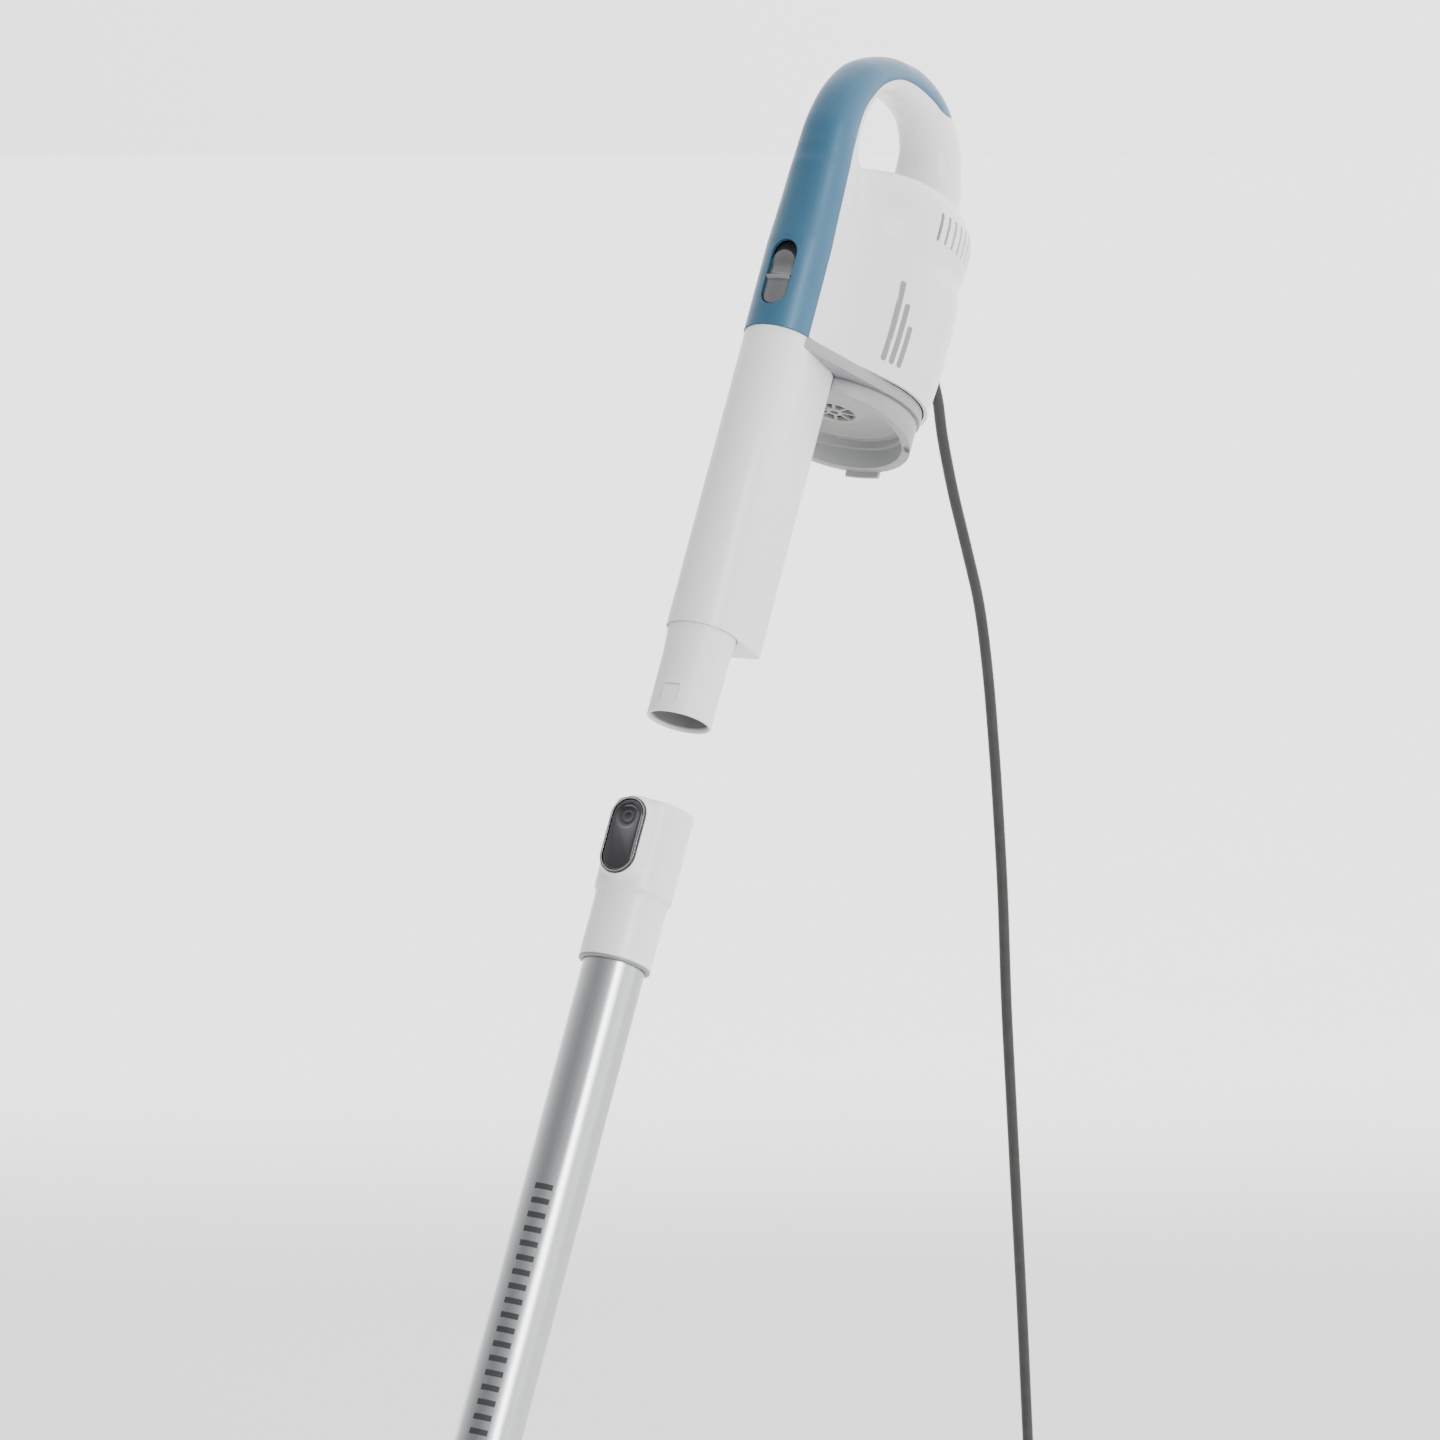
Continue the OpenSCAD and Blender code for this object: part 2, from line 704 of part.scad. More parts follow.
module foot_collar() {
    color("whitesmoke") leaned() difference() {
        rotate_extrude() polygon([[0, wand_foot], [21, wand_foot], [21.6, wand_foot + 1],
            [21.6, wand_foot + foot_len - 12], [20, wand_foot + foot_len - 1], [19, wand_foot + foot_len],
            [0, wand_foot + foot_len]]);
        translate([0, 0, wand_foot + 6]) cylinder(r = tube_r, h = 80);
        translate([0, 0, wand_foot - 1]) cylinder(r = tube_in, h = 20);
    }
}

// ---- neck and floor head ----

module neck_pipe() {
    color("dimgray") leaned() difference() {
        union() {
            translate([0, 0, wand_foot - 8]) cylinder(r = tube_in - FIT, h = 44);
            translate([0, 0, wand_foot - 8]) cylinder(r = 21, h = 7.6);
        }
        translate([0, 0, wand_foot - 9]) cylinder(r = 13.6, h = 80);
    }
}

module neck_elbow() {
    color("gray") leaned() difference() {
        union() {
            translate([0, 0, pivot_z]) cylinder(r = 16.5, h = wand_foot - 8 - pivot_z);
            translate([0, 0, wand_foot - 20]) cylinder(r1 = 16.5, r2 = 20, h = 12);
            translate([0, 0, pivot_z]) rotate([90, 0, 0]) cylinder(r = 17, h = 46, center = true);
            translate([0, 0, pivot_z]) rotate([90, 0, 0]) cylinder(r = trunnion_r, h = 58, center = true);
        }
        translate([0, 0, pivot_z]) cylinder(r = 13.6, h = 80);
        translate([0, 0, pivot_z]) rotate([90, 0, 0]) cylinder(r = 14, h = 40, center = true);
        translate([-18, -14, pivot_z - 30]) cube([24, 28, 30]);
    }
}

// Rounded wedge of the head: inset shrinks it for the hollow
module head_form(inset) {
    hull() for (s = [-1, 1]) {
        translate([pivot_x - head_front + 16, s * (head_w / 2 - 16), floor_z + 6])
            cylinder(r = 16 - inset, h = 8 - inset, $fn = SMOOTH);
        translate([pivot_x - head_front + 20, s * (head_w / 2 - 22), floor_z + 6])
            cylinder(r1 = 18 - inset, r2 = 12 - inset, h = 17 - inset, $fn = SMOOTH);
        translate([pivot_x + head_rear - 14, s * (head_w / 2 - 16), floor_z + 6])
            cylinder(r = 14 - inset, h = 10 - inset, $fn = SMOOTH);
        translate([pivot_x, s * (head_w / 2 - 66), floor_z + 6])
            cylinder(r1 = 34 - inset, r2 = 22 - inset, h = head_h - 6 - inset, $fn = SMOOTH);
    }
}

module head_cover() {
    color("gainsboro") difference() {
        head_form(0);
        translate([0, 0, -EPS]) head_form(shell_wall);
        translate([pivot_x - 25, -34, floor_z]) cube([90, 68, 60]);
        for (s = [-1, 1]) translate([pivot_x + 25, s * 85, floor_z + wheel_r]) rotate([90, 0, 0])
            cylinder(r = wheel_r + 2, h = 16, center = true);
    }
}

module head_base() {
    color("dimgray") difference() {
        union() {
            translate([0, 0, floor_z + 2]) linear_extrude(4) base_outline();
            translate([pivot_x - 20, -23, floor_z + 5]) cube([28, 46, 17]);
            for (s = [-1, 1]) translate([pivot_x - 6, s * 28 - 3, floor_z + 5]) cube([12, 6, pivot_h - 5]);
            for (s = [-1, 1]) translate([pivot_x, s * 28, floor_z + pivot_h]) rotate([90, 0, 0])
                cylinder(r = 7, h = 6, center = true);
            for (s = [-1, 1], t = [-1, 1]) translate([pivot_x + 20, s * 85 + t * 9.5 - 1.5, floor_z + 5])
                cube([10, 3, 7.5]);
        }
        translate([pivot_x - 48, -95, floor_z]) cube([14, 190, 10]);
        translate([pivot_x - 30, -14, floor_z + 8]) cube([30, 28, 11]);
        for (s = [-1, 1]) translate([pivot_x, s * 28, floor_z + pivot_h]) rotate([90, 0, 0])
            cylinder(r = trunnion_r + RUN, h = 10, center = true);
        for (s = [-1, 1]) translate([pivot_x + 25, s * 85, floor_z + wheel_r]) rotate([90, 0, 0])
            cylinder(r = 1.5, h = 30, center = true);
        for (s = [-1, 1]) translate([pivot_x + 15, s * 85 - 7.5, floor_z]) cube([20, 15, 10]);
        translate([pivot_x, 0, floor_z + pivot_h]) rotate([90, 0, 0])
            cylinder(r = 17.6, h = 49, center = true);
    }
}

module base_outline() {
    translate([pivot_x - head_front, -head_w / 2 + 10]) square([head_front + head_rear - 10, head_w - 20]);
    translate([pivot_x - head_front + 10, -head_w / 2]) square([head_front + head_rear - 20, head_w]);
    for (x = [pivot_x - head_front + 10, pivot_x + head_rear - 10], y = [-head_w / 2 + 10, head_w / 2 - 10])
        translate([x, y]) circle(10);
}

module front_bumper() {
    color("dimgray") difference() {
        translate([0, 0, floor_z + 6]) linear_extrude(6) offset(r = 2.5) base_outline();
        translate([0, 0, floor_z + 5]) linear_extrude(8) base_outline();
        translate([pivot_x - 20, -head_w, floor_z]) cube([head_w, 2 * head_w, 30]);
    }
}

module brush_strips() {
    color("black") for (x = [pivot_x - 58, pivot_x - 26]) translate([x, -98, floor_z])
        difference() {
            cube([4, 196, 2]);
            if (x > pivot_x - 40) translate([-1, 74, -1]) cube([6, 48, 4]);
        }
}

module wheel_axles() {
    color("silver") for (s = [-1, 1]) translate([pivot_x + 25, s * 85, floor_z + wheel_r])
        rotate([90, 0, 0]) cylinder(r = 1.5, h = 22, center = true);
}

module wheel(side) {
    color("dimgray") translate([pivot_x + 25, side * 85, floor_z + wheel_r]) rotate([90, 0, 0]) difference() {
        rotate_extrude() polygon([[0, -6], [wheel_r - 1, -6], [wheel_r, -5], [wheel_r, 5],
            [wheel_r - 1, 6], [0, 6]]);
        cylinder(r = 1.5 + RUN, h = 20, center = true);
    }
}

module wheel_left() { wheel(-1); }
module wheel_right() { wheel(1); }

body_shell_left();
body_shell_right();
spine_cover();
duct();
inlet_pipe();
seat_ring();
motor_guard();
cup_catch();
guard_seal();
exhaust_filter();
fan_shroud();
motor_can();
stator_core();
field_coils();
front_bearing();
rear_bearing();
front_mount();
rear_mount();
carbon_brushes();
switch_housing();
circuit_board();
internal_wires();
cord_clamp();
clamp_screws();
strain_relief();
shell_screws();
power_cord();
cord_coil();
cord_tie();
cord_tail();
plug_body();
plug_pins();
rotor_shaft();
rotor_core();
commutator();
impeller();
switch_slider();
wand_tube();
wand_collar();
button_bezel();
button_pin();
button_spring();
foot_collar();
release_button();
neck_pipe();
neck_elbow();
head_cover();
head_base();
front_bumper();
brush_strips();
wheel_axles();
wheel_left();
wheel_right();
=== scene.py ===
"""Looks of a corded stick vacuum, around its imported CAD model.

Most pieces are drawn in the unit's own frame, in millimetres, where z runs up along the wand, x points to
the back and the origin is the middle of the inlet pipe's mouth. UNIT then leans them into the row's frame.
"""

from math import acos, asin, atan2, cos, pi, radians, sin, tan

import bmesh
import bpy
import numpy as np
from mathutils import Matrix, Vector


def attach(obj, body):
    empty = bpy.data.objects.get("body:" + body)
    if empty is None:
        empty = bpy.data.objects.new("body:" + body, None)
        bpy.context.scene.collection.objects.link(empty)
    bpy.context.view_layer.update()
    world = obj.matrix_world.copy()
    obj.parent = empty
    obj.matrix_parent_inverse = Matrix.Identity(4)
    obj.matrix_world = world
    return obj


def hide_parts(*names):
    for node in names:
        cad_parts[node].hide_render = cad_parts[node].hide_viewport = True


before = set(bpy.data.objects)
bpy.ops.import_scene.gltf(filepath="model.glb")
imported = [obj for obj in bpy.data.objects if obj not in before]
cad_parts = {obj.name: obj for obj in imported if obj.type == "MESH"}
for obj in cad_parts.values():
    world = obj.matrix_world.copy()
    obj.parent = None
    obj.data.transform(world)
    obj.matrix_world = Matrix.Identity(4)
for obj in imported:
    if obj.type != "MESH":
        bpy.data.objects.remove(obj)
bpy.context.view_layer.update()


MM = 0.001
LEAN = radians(28.5)
GRIP = Vector((0.070, 0, 0.420))
FLOOR_Z = -0.982
UNIT = Matrix.Rotation(LEAN, 4, "Y") @ Matrix.Translation(-GRIP)
scene = bpy.context.scene


def row(x, y, z):
    """A point of the unit's frame, in millimetres, in the row's frame, in metres."""
    return UNIT @ Vector((x * MM, y * MM, z * MM))


# ---- camera and cord, which settle what is seen ----


def link_object(name, data):
    obj = bpy.data.objects.new(name, data)
    scene.collection.objects.link(obj)
    return obj


def add_camera():
    """The photograph's view: from the wand's front left, a little above, at 2.74 m."""
    azimuth, elevation, distance = radians(-58.8), radians(8.56), 2.74
    back = Vector((sin(azimuth) * cos(elevation), -cos(azimuth) * cos(elevation),
                   sin(elevation)))
    camera = link_object("camera", bpy.data.cameras.new("camera"))
    camera.data.sensor_width = 36
    camera.data.lens = 123.3
    camera.data.clip_end = 30
    camera.data.shift_x = 0.0286
    camera.data.shift_y = 0.0016
    camera.location = row(0, 0, 0) + back * distance
    camera.rotation_euler = back.to_track_quat("Z", "Y").to_euler()
    scene.camera = camera


def smooth_rows(rows, per_span):
    """A Catmull-Rom curve through rows of any width."""
    p = np.array([tuple(r) for r in rows], float)
    t = np.arange(per_span)[:, None] / per_span
    out = []
    for i in range(len(p) - 1):
        a, b, c, d = p[max(i - 1, 0)], p[i], p[i + 1], p[min(i + 2, len(p) - 1)]
        out.append(0.5 * ((2 * b) + (c - a) * t + (2 * a - 5 * b + 4 * c - d) * t * t
                          + (3 * b - a - 3 * c + d) * t ** 3))
    return np.vstack(out + [p[-1:]])


def smooth_line(points):
    return [Vector(p) for p in smooth_rows(points, 6)]


CORD_D = 0.007
COIL_R = 0.0415
COIL_LAYERS = 4
COIL_TURNS = 15.25
COIL_CENTRE = Vector((0.125, 0.046, 0))
COIL_LIFT = 0.0012
JOG = 0.3
CORD_ROUTE = [row(x, 0, 295) for x in (118, 130, 144, 158)] + [
    (0.030, 0, -0.162), (0.039, 0, -0.178), (0.046, 0, -0.202), (0.060, 0, -0.236), (0.078, 0, -0.272),
    (0.095, 0, -0.308), (0.107, 0, -0.350), (0.116, 0, -0.396), (0.124, 0, -0.446), (0.131, 0, -0.500),
    (0.137, 0, -0.566), (0.145, 0, -0.630), (0.154, 0, -0.700), (0.163, 0, -0.770), (0.171, 0, -0.840),
    (0.177, 0, -0.890), (0.181, 0, -0.920), (0.183, 0.004, -0.945), (0.1838, 0.014, -0.963),
    (0.1838, 0.028, -0.973), (0.1838, 0.045, -0.977)]
TAIL_ROUTE = [(0.113, 0.098, -0.957), (0.100, 0.098, -0.9605), (0.087, 0.0975, -0.9665),
              (0.074, 0.097, -0.972), (0.061, 0.097, -0.975), (0.048, 0.097, -0.975)]


def coil_slot(turn):
    """Layer and column of one turn: wound across one layer and back across the next."""
    layer, column = divmod(turn, COIL_LAYERS)
    return layer, column if layer % 2 == 0 else COIL_LAYERS - 1 - column


def ease(t):
    return (1 - cos(pi * min(max(t, 0), 1))) / 2


def coil_points():
    """The coil's turns: each keeps its place, and steps over to the next one's in its last stretch."""
    steps, points = 36, []
    for i in range(1, int(COIL_TURNS * steps) + 1):
        turn = i / steps
        whole = int(turn)
        step = ease((turn - whole - (1 - JOG)) / JOG)
        layer, column = ((1 - step) * a + step * b for a, b in zip(coil_slot(whole), coil_slot(whole + 1)))
        lead_in = 1 - ease(turn / 0.25)
        radius = COIL_R + ((COIL_LAYERS - 1) / 2 - column + lead_in) * CORD_D
        angle = 2 * pi * turn
        height = FLOOR_Z + COIL_LIFT + CORD_D * (0.5 + layer)
        points.append(COIL_CENTRE + Vector((radius * cos(angle), radius * sin(angle), height)))
    return points


def ring_faces(steps, n, start=0):
    """Four-sided faces between each ring of n points and the next one."""
    return [(start + i * n + k, start + i * n + (k + 1) % n, start + (i + 1) * n + (k + 1) % n,
             start + (i + 1) * n + k) for i in range(steps) for k in range(n)]


def tube(name, path, radius, sides=16):
    """A round tube's mesh along a path of vectors, carried along without twisting."""
    last = len(path) - 1
    side = (path[1] - path[0]).normalized().orthogonal().normalized()
    verts = []
    for i, place in enumerate(path):
        way = (path[min(i + 1, last)] - path[max(i - 1, 0)]).normalized()
        side = (side - way * side.dot(way)).normalized()
        up = way.cross(side)
        verts += [place + radius * (cos(t) * side + sin(t) * up)
                  for t in (2 * pi * k / sides for k in range(sides))]
    faces = ring_faces(last, sides)
    faces += [tuple(range(sides - 1, -1, -1)), tuple(range(len(verts) - sides, len(verts)))]
    mesh = bpy.data.meshes.new(name)
    mesh.from_pydata(verts, [], faces)
    return link_object(name, mesh)


def add_cord():
    """The whole mains cord: the hanging stretch, the coil and the tail to the plug."""
    coil = coil_points()
    path = smooth_line(CORD_ROUTE) + coil + smooth_line([coil[-1]] + TAIL_ROUTE)[1:]
    cord = tube("mains_cord", path, CORD_D / 2)
    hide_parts("power_cord", "cord_coil", "cord_tail")
    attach(cord, "hand_unit")
    return cord, path


add_camera()
cord, cord_path = add_cord()

# ---- materials ----


def add_node(tree, kind, wires=(), values=(), **settings):
    """A shader node with its settings, its sockets' values and the wires that lead to it."""
    node = tree.nodes.new("ShaderNode" + kind)
    for key, value in settings.items():
        setattr(node, key, value)
    connect(tree, node, wires, values)
    return node.outputs


def connect(tree, node, wires, values=()):
    for key, value in dict(values).items():
        node.inputs[key].default_value = value
    for key, source in dict(wires).items():
        tree.links.new(source, node.inputs[key])


def new_tree(name, along_wand=False, stretch=(1, 1, 1)):
    """A material, its node tree, and its surface's coordinates in the row's frame or along the wand."""
    m = bpy.data.materials.new(name)
    m.use_nodes = True
    tree = m.node_tree
    place = add_node(tree, "TexCoord")["Object"]
    if along_wand:
        place = add_node(tree, "Mapping", {"Vector": place}, {"Rotation": (0, LEAN, 0)},
                         vector_type="TEXTURE")["Vector"]
    return m, tree, add_node(tree, "VectorMath", {0: place}, {1: stretch}, operation="MULTIPLY")["Vector"]


def shade(m, wires, values=()):
    """Wires and plain values on the material's own shader."""
    connect(m.node_tree, m.node_tree.nodes["Principled BSDF"], wires, values)
    return m


def noise(tree, place, scale, detail=4):
    return add_node(tree, "TexNoise", {"Vector": place}, {"Scale": scale, "Detail": detail})["Fac"]


def spread(tree, value, low, high, start=0.3, end=0.7, **settings):
    """Maps start..end of a value, a noise's usual range unless told otherwise, to low..high."""
    ends = {"From Min": start, "From Max": end, "To Min": low, "To Max": high}
    return add_node(tree, "MapRange", {"Value": value}, ends, **settings)["Result"]


def tinted(tree, value, dark, light):
    ends = {"A": (*dark, 1), "B": (*light, 1)}
    return add_node(tree, "Mix", {"Factor": value}, ends, data_type="RGBA")["Result"]


def bump(tree, value, strength, distance):
    return add_node(tree, "Bump", {"Height": value}, {"Strength": strength, "Distance": distance})["Normal"]


def plastic(name, colour, rough, vary=0.04, grain=2600, grain_depth=0.00002, coat=0.0, metallic=0.0,
            rough_vary=0.05):
    """Moulded plastic: faint mottling, a fine moulded grain and handling marks in the gloss."""
    m, tree, place = new_tree(name)
    mottle = spread(tree, noise(tree, place, 22, 3), 0, 1)
    dark = tuple(c * (1 - vary) for c in colour)
    light = tuple(min(c * (1 + vary * 0.6), 1) for c in colour)
    wipe = noise(tree, place, 60, 6)
    return shade(m, {"Base Color": tinted(tree, mottle, dark, light),
                     "Roughness": spread(tree, wipe, max(rough - rough_vary, 0.02), rough + rough_vary),
                     "Normal": bump(tree, noise(tree, place, grain, 2), 0.35, grain_depth)},
                 {"Coat Weight": coat, "Coat Roughness": 0.12, "Metallic": metallic})


def metal(name, colour, rough, along_wand=False, stretch=(1, 1, 1), grain=900, depth=0.000012, vary=0.06,
          anisotropic=0.0):
    """Metal with a fine drawn or turned grain."""
    m, tree, place = new_tree(name, along_wand, stretch)
    lines = noise(tree, place, grain, 3)
    dark = tuple(c * (1 - vary) for c in colour)
    return shade(m, {"Base Color": tinted(tree, spread(tree, lines, 0, 1), dark, colour),
                     "Roughness": spread(tree, noise(tree, place, grain / 8), rough * 0.85, rough * 1.2),
                     "Normal": bump(tree, lines, 0.3, depth)},
                 {"Metallic": 1.0, "Anisotropic": anisotropic})


def rubber(name, colour, rough, scale=1400, depth=0.00004):
    """Matt rubber with a little dust in its grain."""
    m, tree, place = new_tree(name)
    dust = spread(tree, noise(tree, place, 90, 5), 0, 1)
    light = tuple(c * 1.25 + 0.004 for c in colour)
    return shade(m, {"Base Color": tinted(tree, dust, colour, light),
                     "Roughness": spread(tree, noise(tree, place, 200), rough - 0.08, rough + 0.08),
                     "Normal": bump(tree, noise(tree, place, scale, 3), 0.4, depth)})


def fibres(name, colour, scale, stretch, depth=0.0003):
    """Felt, woven tape or bristle: streaky strands with sheen."""
    m, tree, place = new_tree(name, False, stretch)
    strands = noise(tree, place, scale, 5)
    dark = tuple(c * 0.55 for c in colour)
    return shade(m, {"Base Color": tinted(tree, spread(tree, strands, 0, 1), dark, colour),
                     "Normal": bump(tree, strands, 0.8, depth)},
                 {"Roughness": 0.85, "Sheen Weight": 0.4})


WHITE = plastic("white_plastic", (0.77, 0.775, 0.79), 0.30, vary=0.012, coat=0.15)
PIPE_WHITE = plastic("matt_white_plastic", (0.74, 0.745, 0.76), 0.42, vary=0.015, grain=3200)
BLUE = plastic("pearl_blue", (0.026, 0.108, 0.185), 0.38, vary=0.05, coat=0.12, metallic=0.25, grain=5200,
               grain_depth=0.000008)
GREY = plastic("grey_plastic", (0.28, 0.282, 0.288), 0.42, vary=0.03)
DISH = plastic("pale_grey_plastic", (0.33, 0.329, 0.323), 0.38, vary=0.03)
GREY_PRINT = plastic("grey_print", (0.22, 0.222, 0.226), 0.35, vary=0.03)
SILVER = plastic("silver_paint", (0.15, 0.152, 0.158), 0.28, vary=0.05, metallic=0.55, coat=0.2)
DARK = plastic("dark_plastic", (0.030, 0.031, 0.033), 0.45, vary=0.15, grain=1800, grain_depth=0.00006)
SMOKE = plastic("smoked_gloss", (0.018, 0.018, 0.021), 0.10, vary=0.2, coat=1.0, grain=600,
                grain_depth=0.000002, rough_vary=0.03)
CHROME = metal("bright_trim", (0.66, 0.67, 0.69), 0.09, grain=300, depth=0.000002)
TUBE = metal("satin_tube", (0.54, 0.55, 0.565), 0.24, along_wand=True, stretch=(1, 1, 0.02), grain=2600,
             depth=0.000006, vary=0.10, anisotropic=0.3)
STEEL = metal("plated_steel", (0.55, 0.56, 0.58), 0.25, grain=700)
BRIGHT = metal("machined_aluminium", (0.78, 0.79, 0.80), 0.22, grain=900)
IRON = metal("laminated_iron", (0.16, 0.16, 0.17), 0.42, along_wand=True, stretch=(0.05, 0.05, 1), grain=2200,
             depth=0.00005, vary=0.3)
COPPER = metal("enamelled_copper", (0.60, 0.26, 0.11), 0.24, along_wand=True, stretch=(0.2, 0.2, 1),
               grain=1500, depth=0.00006, vary=0.25)
NICKEL = metal("nickel_pins", (0.72, 0.70, 0.66), 0.16, grain=500)
BOARD = plastic("circuit_board_green", (0.02, 0.14, 0.06), 0.35, vary=0.3, coat=0.5)
RUBBER = rubber("black_rubber", (0.022, 0.022, 0.023), 0.62)
JACKET = rubber("cord_jacket", (0.014, 0.0135, 0.012), 0.42, scale=900, depth=0.00003)
FELT = fibres("filter_felt", (0.72, 0.71, 0.66), 900, (1, 1, 1))
TAPE = fibres("hook_tape", (0.03, 0.03, 0.032), 2200, (1, 1, 1), 0.0002)
BRISTLE = fibres("bristle", (0.03, 0.03, 0.034), 1500, (1, 1, 0.06), 0.0006)

NODES_OF = [
    (WHITE, "body_shell_left body_shell_right duct wand_collar foot_collar head_cover"),
    (PIPE_WHITE, "inlet_pipe"),
    (BLUE, "spine_cover"),
    (GREY, "seat_ring cup_catch neck_pipe"),
    (DISH, "motor_guard"),
    (SILVER, "switch_slider"),
    (DARK, "carbon_brushes switch_housing cord_clamp neck_elbow head_base"),
    (SMOKE, "release_button"),
    (CHROME, "button_bezel"),
    (TUBE, "wand_tube"),
    (STEEL, "fan_shroud motor_can front_bearing rear_bearing clamp_screws shell_screws rotor_shaft"
            " button_pin button_spring wheel_axles"),
    (BRIGHT, "impeller"),
    (IRON, "stator_core rotor_core"),
    (COPPER, "field_coils commutator"),
    (NICKEL, "plug_pins"),
    (BOARD, "circuit_board"),
    (RUBBER, "guard_seal front_mount rear_mount front_bumper wheel_left wheel_right"),
    (JACKET, "internal_wires strain_relief power_cord cord_coil cord_tail plug_body"),
    (FELT, "exhaust_filter"),
    (TAPE, "cord_tie"),
    (BRISTLE, "brush_strips"),
]


def dress(obj, material):
    obj.data.materials.clear()
    obj.data.materials.append(material)


def smooth_shaded(obj, angle):
    """Smooth shading, with edges over an angle in degrees left crisp."""
    obj.data.polygons.foreach_set("use_smooth", [True] * len(obj.data.polygons))
    obj.data.set_sharp_from_angle(angle=radians(angle))


for node_material, node_names in NODES_OF:
    for node_name in node_names.split():
        dress(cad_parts[node_name], node_material)
        smooth_shaded(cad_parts[node_name], 30)
dress(cord, JACKET)
cord.data.polygons.foreach_set("use_smooth", [True] * len(cord.data.polygons))

# ---- mesh tools; sizes in millimetres in the unit's frame ----


def add_mesh(name, points, faces, leaned=True):
    """A mesh object from points in millimetres, leaned into the row's frame unless told otherwise."""
    mesh = bpy.data.meshes.new(name)
    mesh.from_pydata([tuple(float(c) * MM for c in p) for p in points], [], [tuple(f) for f in faces])
    if leaned:
        mesh.transform(UNIT)
    mesh.validate()
    return link_object(name, mesh)


def put(obj, place, turn=0, axis="Z", start=(0, 0, 0), around=UNIT):
    """Moves a piece drawn at the origin to start, turns it by degrees, and moves it to place."""
    first, last = (Matrix.Translation([c * MM for c in move]) for move in (start, place))
    obj.data.transform(around @ last @ Matrix.Rotation(radians(turn), 4, axis) @ first)


def settle(obj, material, body, slot, *nodes, angle=32):
    """Shading, material and place in the frame for a finished piece."""
    smooth_shaded(obj, angle)
    dress(obj, material)
    if nodes:
        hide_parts(*nodes)
    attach(obj, body)
    return obj


def apply_modifiers(obj):
    """Bakes the piece's modifiers into its mesh."""
    graph = bpy.context.evaluated_depsgraph_get()
    mesh = bpy.data.meshes.new_from_object(obj.evaluated_get(graph))
    old = obj.data
    obj.modifiers.clear()
    obj.data = mesh
    bpy.data.meshes.remove(old)
    return obj


def boolean(obj, cutters, how="DIFFERENCE"):
    """Cuts, joins or crosses obj with each cutter in turn, and removes the cutters."""
    for cutter in cutters:
        m = obj.modifiers.new("cut", "BOOLEAN")
        m.operation = how
        m.solver = "MANIFOLD"
        m.object = cutter
        bpy.context.view_layer.update()
        apply_modifiers(obj)
        bpy.data.objects.remove(cutter)
    return obj


def bevelled(obj, width, segments=3, angle=30):
    """Rounds the piece's sharp edges; width in millimetres."""
    m = obj.modifiers.new("edge", "BEVEL")
    m.width = width * MM
    m.segments = segments
    m.limit_method = "ANGLE"
    m.angle_limit = radians(angle)
    m.harden_normals = False
    return apply_modifiers(obj)


def fillet(corners, steps=5):
    """A closed outline with rounded corners; each corner is (x, y, radius)."""
    out = []
    n = len(corners)
    for i, (x, y, radius) in enumerate(corners):
        here = Vector((x, y))
        a = Vector(corners[i - 1][:2]) - here
        b = Vector(corners[(i + 1) % n][:2]) - here
        if radius <= 0 or a.length < 1e-6 or b.length < 1e-6:
            out.append((x, y))
            continue
        u, v = a.normalized(), b.normalized()
        half = acos(max(-1, min(1, u.dot(v)))) / 2
        reach = min(radius / tan(half), 0.48 * a.length, 0.48 * b.length)
        r = reach * tan(half)
        centre = here + (u + v).normalized() * (r / sin(half))
        start, end = here + u * reach - centre, here + v * reach - centre
        turn = atan2(start.x * end.y - start.y * end.x, start.dot(end))
        first = atan2(start.y, start.x)
        for k in range(steps + 1):
            t = first + turn * k / steps
            out.append((centre.x + r * cos(t), centre.y + r * sin(t)))
    return out


def revolve(name, profile, centre=(0, 0), segments=128, leaned=True):
    """A solid of revolution about the unit's z, from a closed profile of (radius, z)."""
    n = len(profile)
    turns = [2 * pi * k / segments for k in range(segments)]
    points = [(centre[0] + r * cos(t), centre[1] + r * sin(t), z) for t in turns for r, z in profile]
    starts = [(k * n, (k + 1) % segments * n) for k in range(segments)]
    faces = [(a + i, b + i, b + (i + 1) % n, a + (i + 1) % n) for a, b in starts for i in range(n)]
    obj = add_mesh(name, points, faces, leaned)
    tidy(obj)
    return obj


def tidy(obj):
    """Joins doubled points and turns all faces outwards."""
    b = bmesh.new()
    b.from_mesh(obj.data)
    bmesh.ops.remove_doubles(b, verts=b.verts, dist=1e-7)
    bmesh.ops.dissolve_degenerate(b, edges=b.edges, dist=1e-7)
    bmesh.ops.recalc_face_normals(b, faces=b.faces)
    b.to_mesh(obj.data)
    b.free()


def prism(name, outline, low, high, plane="xy", leaned=True):
    """An outline drawn in a plane and drawn out from low to high along the third axis."""
    order = {"xy": (0, 1, 2), "xz": (0, 2, 1), "yz": (2, 0, 1)}[plane]
    n = len(outline)
    points = [[(a, b, h)[k] for k in order] for h in (low, high) for a, b in outline]
    faces = [tuple(range(n)), tuple(range(2 * n - 1, n - 1, -1))] + ring_faces(1, n)
    obj = add_mesh(name, points, faces, leaned)
    tidy(obj)
    return obj


def stadium(width, length, middle=(0, 0), steps=16):
    """Outline of a slot with round ends, long side along the second axis."""
    r, run = width / 2, (length - width) / 2
    turns = [pi * k / steps for k in range(steps + 1)]
    top = [(r * cos(t), run + r * sin(t)) for t in turns]
    return [(middle[0] + s * a, middle[1] + s * b) for s in (1, -1) for a, b in top]


